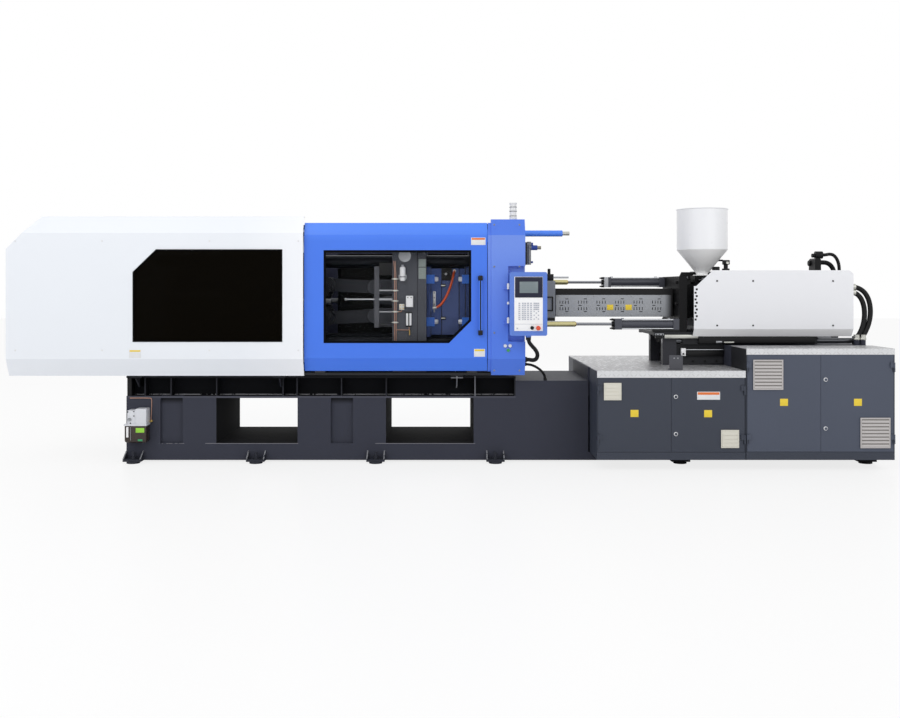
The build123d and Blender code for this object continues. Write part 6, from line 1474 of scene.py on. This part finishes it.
    def add_mould_clamps(self, body):
        """The nuts on the studs of the mould's clamps, on both halves."""
        nut = capped("nut", (0, 0, 0), (0, 0, 0.026), 0.0265, 0.003, 6)
        bored(nut, [((0, 0, -0.01), (0, 0, 0.05), 0.0190)])
        places = [(y, z) for y in (-0.362, 0.362) for z in (1.830, 1.395)]
        moving = moved(nut, Matrix.Identity(4))
        left = repeat("mould_clamp_nuts_moving", moving, [(-0.0965, y, z) for y, z in places], "+X")
        dress(left, body, "panel_white")
        right = repeat("mould_clamp_nuts_fixed", nut, [(0.1815, y, z) for y, z in places], "-X")
        dress(right, "root", "panel_white")

    def add_mould_fittings(self, body, face, back):
        """The limit switch, the locks and the recessed plate on the mould's front."""
        plate("limit_switch", (-0.115, face - 0.024, 1.556), (-0.086, back, 1.705), body, "panel_white", 0.003)
        plate("limit_switch_foot", (-0.110, face - 0.014, 1.490), (-0.095, back, 1.5555), body, "steel")
        places = [(-0.1005, face - 0.024, z) for z in (1.572, 1.640, 1.690)]
        screws("limit_switch_screws", places, "-Y", 0.011, body, "black_plastic")
        for level, z in (("high", 1.7655), ("low", 1.431)):
            plate(f"mould_lock_{level}", (-0.035, face - 0.018, z - 0.016), (0.016, back, z + 0.016), body,
                  "black_paint")
            plate(f"mould_lock_strip_{level}", (-0.031, face - 0.0195, z - 0.005), (0.012, face - 0.0175, z + 0.005),
                  body, "zinc", 0.0006)
        pocket = cube("mould_pocket", (-0.024, face - 0.0030, 1.816), (0.081, back, 1.941))
        dress(inset_face(pocket, (0, -1, 0), 0.006, -0.0015), body, "black_paint")
        eye = disc("mould_pocket_eye", (0.018, face - 0.001, 1.883), 0.005, 0.013, 0.004, -0.002, 24)
        dress(eye, body, "steel")


class MACHINE_OT_carriage_fittings(MachineOperator, bpy.types.Operator):
    """Adds the slide plates, rail webs, gauge rod and brackets under the injection unit"""

    bl_idname = "machine.carriage_fittings"
    bl_label = "Injection carriage"

    BOTH_SIDES = (
        ("nose_cap", (2.124, 2.398), (0.344, 0.390), (1.2905, 1.314), "carriage", "black_paint", 0.004),
        ("slide_trim", (2.250, 2.590), (0.3875, 0.3915), (1.2265, 1.262), "carriage", "zinc", 0.001),
        ("slide_plate", (2.250, 2.590), (0.346, 0.388), (1.2265, 1.2505), "carriage", "steel", 0.002),
        ("carriage_beam", (2.596, 3.790), (0.352, 0.386), (1.172, 1.2505), "carriage", "black_paint", 0.006),
        ("beam_lug", (2.774, 2.835), (0.385, 0.392), (1.178, 1.199), "carriage", "steel", 0.002),
        ("beam_rail", (2.856, 2.958), (0.385, 0.392), (1.178, 1.192), "carriage", "zinc", 0.002),
        ("rail_web_flange", (2.382, 2.872), (0.310, 0.318), (DECK_TOP, 0.968), "root", "carriage_paint", 0.002),
    )

    def build(self):
        for spec in self.BOTH_SIDES:
            both_plates(*spec)
        self.add_rail_webs()
        self.add_nose()
        self.add_gauge()
        self.add_deck_fittings()
        self.add_loader_valve()
        self.add_throat_fittings()
        self.add_guard_details()

    def add_rail_webs(self):
        for out, side in SIDES:
            near, far = sorted((out * 0.290, out * 0.310))
            web = cube(f"rail_web_{side}", (2.382, near, DECK_TOP), (2.872, far, 1.166))
            inset_face(web, (0, out, 0), 0.018, -0.005)
            dress(round_edges(web, 0.002), "root", "carriage_paint")
            places = [(x, out * 0.305, 0.992) for x in (2.44, 2.56, 2.68, 2.80)]
            bolts(f"rail_web_bolts_{side}", places, "-Y" if out < 0 else "+Y", 0.022, "root", "black_paint")

    def add_nose(self):
        plate("nose_strip", (2.150, -0.3915, 1.257), (2.240, -0.3875, 1.275), "carriage", "steel", 0.001)
        plate("nose_foot", (2.160, -0.378, 1.222), (2.228, -0.332, 1.2505), "carriage", "black_paint", 0.004)
        rod("nose_knob", (2.194, -0.355, 1.190), (2.194, -0.355, 1.223), 0.018, 0.004, "carriage", "black_paint", 16)
        places = [(x, -0.3915, 1.266) for x in (2.163, 2.195, 2.227)]
        screws("nose_strip_screws", places, "-Y", 0.012, "carriage", "black_paint")

    def add_gauge(self):
        rod("gauge_rod", (2.470, -0.334, 1.107), (2.872, -0.334, 1.107), 0.0072, 0.002, "root", "chrome")
        plate("gauge_body", (2.474, -0.330, 1.040), (2.872, -0.3095, 1.092), "root", "black_paint", 0.004)
        eye = round_edges(cube("gauge_eye", (2.430, -0.350, 1.044), (2.476, -0.3095, 1.122)), 0.003)
        dress(bored(eye, [((2.452, -0.36, 1.064), (2.452, -0.30, 1.064), 0.0125)]), "root", "panel_white")

    def add_deck_fittings(self):
        """The toothed beam across the rails and the bent bracket at the deck's front."""
        plate("rail_cross_beam", (2.328, -0.256, DECK_TOP), (2.402, 0.256, 1.030), "root", "black_paint", 0.006)
        tooth = round_edges(cube("tooth", (2.334, -0.020, 1.028), (2.396, 0.020, 1.047)), 0.003)
        places = [(0, y, 0) for y in (-0.21, -0.105, 0, 0.105, 0.21)]
        dress(repeat("cross_beam_teeth", tooth, places), "root", "black_paint")
        foot = cube("deck_bracket", (2.166, -0.962, DECK_TOP), (2.296, -0.870, 0.958))
        shift(foot, "FACE", lambda face: face.normal.y > 0.9, (0, -0.084, 0))
        pick(foot, "FACE", lambda face: face.normal.z > 0.9)
        bpy.ops.mesh.extrude_region_move(TRANSFORM_OT_translate={"value": (0, 0, 0.135)})
        done()
        heel = round_edges(cube("heel", (2.166, -0.956, DECK_TOP), (2.296, -0.890, 0.959)), 0.002)
        dress(join("deck_bracket", [round_edges(foot, 0.002), heel]), "root", "frame_grey")
        bolts("deck_bracket_bolts", [(x, -0.915, 0.959) for x in (2.19, 2.272)], "+Z", 0.018, "root", "steel")
        bolts("deck_bracket_studs", [(x, -0.956, 1.064) for x in (2.212, 2.247)], "-Y", 0.015, "root", "steel")

    def add_loader_valve(self):
        x, y = 2.970, -0.050
        base = round_edges(bar("base", (x, y, 1.9195), (x, y, 1.945), 0.039, 24), 0.004)
        waist = bar("waist", (x, y, 1.944), (x, y, 1.986), 0.022, 20)
        head = round_edges(cube("head", (2.938, y - 0.030, 1.985), (3.006, y + 0.030, 2.034)), 0.008, 3)
        dress(join("loader_valve", [base, waist, head]), "carriage", "black_paint")
        arm = bar("loader_arm", (2.872, y, 2.030), (2.940, y, 2.030), 0.009, 16)
        dress(inset_face(arm, (1, 0, 0), 0.002, 0.002), "carriage", "black_paint")
        dial = disc("loader_dial", (2.980, y - 0.029, 2.008), 0.007, 0.016, 0.004, -0.002, 24)
        dress(dial, "carriage", "zinc")
        plate("loader_box", (2.832, y - 0.035, 1.9195), (2.898, y + 0.035, 1.964), "carriage", "black_paint", 0.006)

    def add_throat_fittings(self):
        shield = cube("throat_shield", (2.484, 0.296, 1.700), (2.936, 0.301, 1.912))
        shift(shield, "VERT", lambda vertex: vertex.co.x < 2.5 and vertex.co.z > 1.8, (0.100, 0, 0))
        dress(round_edges(shield, 0.0015), "carriage", "black_paint")
        body = cube("gate_cylinder", (2.486, -0.046, 1.752), (2.604, 0.046, 1.838))
        inset_face(body, (0, -1, 0), 0.010, -0.006)
        dress(round_edges(body, 0.004), "carriage", "black_paint")
        rod("gate_cylinder_rod", (2.603, 0, 1.798), (2.6335, 0, 1.798), 0.016, 0.003, "carriage", "black_paint", 20)
        for number, x in enumerate((2.512, 2.574)):
            port = faceted(f"gate_port_{number}", (x, 0, 1.8375), (x, 0, 1.858), 0.013, 0.001)
            dress(port, "carriage", "steel")

    def add_guard_details(self):
        face = DRIVE_GUARD_FACE
        slot = round_edges(cube("slot", (-0.010, -0.0012, -0.010), (0.010, 0.0010, 0.010)), 0.0008)
        places = [(2.549 + 0.012 * (n % 2), face, 1.420 + 0.034 * n) for n in range(10)]
        dress(repeat("drive_guard_slots", slot, places), "carriage", "black_paint")
        places = [(x, face, z) for x in (2.767, 3.132, 3.943) for z in (1.811, 1.360)]
        screws_both_sides("drive_guard_screws", places, 0.018, "carriage", "black_paint")


class MACHINE_OT_lubrication_pump(MachineOperator, bpy.types.Operator):
    """Makes the central lubrication pump with its oil tank, gauge, plates and pipe, and the bed's end plates"""

    bl_idname = "machine.lubrication_pump"
    bl_label = "Lubrication pump"

    def build(self):
        body, back = "root", -0.5895
        pump = plate("pump_body", (-3.133, -0.712, 0.392), (-3.050, back, 0.531), body, "pump_paint", 0.006)
        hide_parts("lubrication_pump")
        for out, side in SIDES:
            near, far = sorted((out * 0.586, out * 0.400))
            end = cube(f"bed_end_plate_{side}", (-3.172, near, 0.660), (-3.128, far, 0.8465))
            inset_face(end, (-1, 0, 0), 0.012, -0.006)
            dress(round_edges(end, 0.002), body, "black_paint")
        box = cube("pump_cover", (-3.051, -0.720, 0.392), (-2.941, back, 0.546))
        inset_face(box, (0, -1, 0), 0.012, 0.003)
        dress(round_edges(box, 0.005), body, "pump_paint")
        tank = cube("pump_tank", (-3.158, -0.718, 0.222), (-2.942, back, 0.3785))
        inset_face(tank, (0, 0, -1), 0.014, 0.012)
        dress(round_edges(tank, 0.010, 3), body, "reservoir")
        plate("pump_flange", (-3.165, -0.722, 0.378), (-2.939, back, 0.3935), body, "pump_paint", 0.003)
        for name, x, z, finish in (
            ("pump_green_plate", (-3.046, -2.962), (0.312, 0.358), "plain_green"),
            ("pump_low_plate", (-3.026, -2.980), (0.228, 0.246), "dark_green"),
        ):
            plate(name, (x[0], -0.7198, z[0]), (x[1], -0.7175, z[1]), body, finish, 0.0008)
        rod("pump_gauge", (-3.127, -0.722, 0.268), (-3.127, -0.722, 0.366), 0.011, 0.002, body, "panel_white", 20)
        rod("pump_float_rod", (-3.096, -0.721, 0.236), (-3.096, -0.721, 0.368), 0.0035, 0.001, body, "steel", 12)
        dress(disc("pump_dial", (-3.108, -0.7115, 0.440), 0.0085, 0.018, 0.004, -0.002, 28), body, "steel")
        places = [(x, -0.712, z) for x, z in ((-3.066, 0.476), (-3.100, 0.404), (-3.126, 0.516), (-3.066, 0.520))]
        screws("pump_screws", places, "-Y", 0.012, body, "black_plastic")
        line = [(-3.140, -0.597, 0.640), (-3.05, -0.597, 0.641), (-2.945, -0.597, 0.640), (-2.926, -0.597, 0.638),
                (-2.922, -0.597, 0.615), (-2.924, -0.598, 0.520), (-2.930, -0.600, 0.430), (-2.926, -0.604, 0.412)]
        pipe("pump_pipe", line, 0.0036, body, "copper")
        elbow = faceted("pump_pipe_nut", (-2.938, -0.606, 0.405), (-2.914, -0.606, 0.418), 0.0135, 0.001)
        dress(elbow, body, "brass")


CLASSES = [
    MachineColours,
    MachineDetails,
    MachineStage,
    MACHINE_OT_stage,
    MACHINE_OT_finishes,
    MACHINE_OT_hoses,
    MACHINE_OT_guard_fittings,
    MACHINE_OT_door_fittings,
    MACHINE_OT_operator_panel,
    MACHINE_OT_cover_fittings,
    MACHINE_OT_cabinet_fittings,
    MACHINE_OT_purge_guard,
    MACHINE_OT_barrel_fittings,
    MACHINE_OT_clamp_fittings,
    MACHINE_OT_carriage_fittings,
    MACHINE_OT_lubrication_pump,
]
STEPS = [kind for kind in CLASSES if issubclass(kind, bpy.types.Operator)]


class MACHINE_PT_panel(bpy.types.Panel):
    """Lists the machine's operators in the sidebar"""

    bl_idname = "MACHINE_PT_panel"
    bl_label = "Injection Moulding Machine"
    bl_space_type = "VIEW_3D"
    bl_region_type = "UI"
    bl_category = "Machine"

    def draw(self, context):
        for kind in STEPS:
            self.layout.operator(kind.bl_idname)


def register():
    for kind in (*CLASSES, MACHINE_PT_panel):
        bpy.utils.register_class(kind)
    bpy.types.Scene.machine_colours = bpy.props.PointerProperty(type=MachineColours)
    bpy.types.Scene.machine_details = bpy.props.PointerProperty(type=MachineDetails)
    bpy.types.Scene.machine_stage = bpy.props.PointerProperty(type=MachineStage)


def unregister():
    del bpy.types.Scene.machine_colours
    del bpy.types.Scene.machine_details
    del bpy.types.Scene.machine_stage
    for kind in reversed((*CLASSES, MACHINE_PT_panel)):
        bpy.utils.unregister_class(kind)


def main():
    register()
    for kind in STEPS:
        group, name = kind.bl_idname.split(".")
        getattr(getattr(bpy.ops, group), name)()


if __name__ == "__main__":
    main()
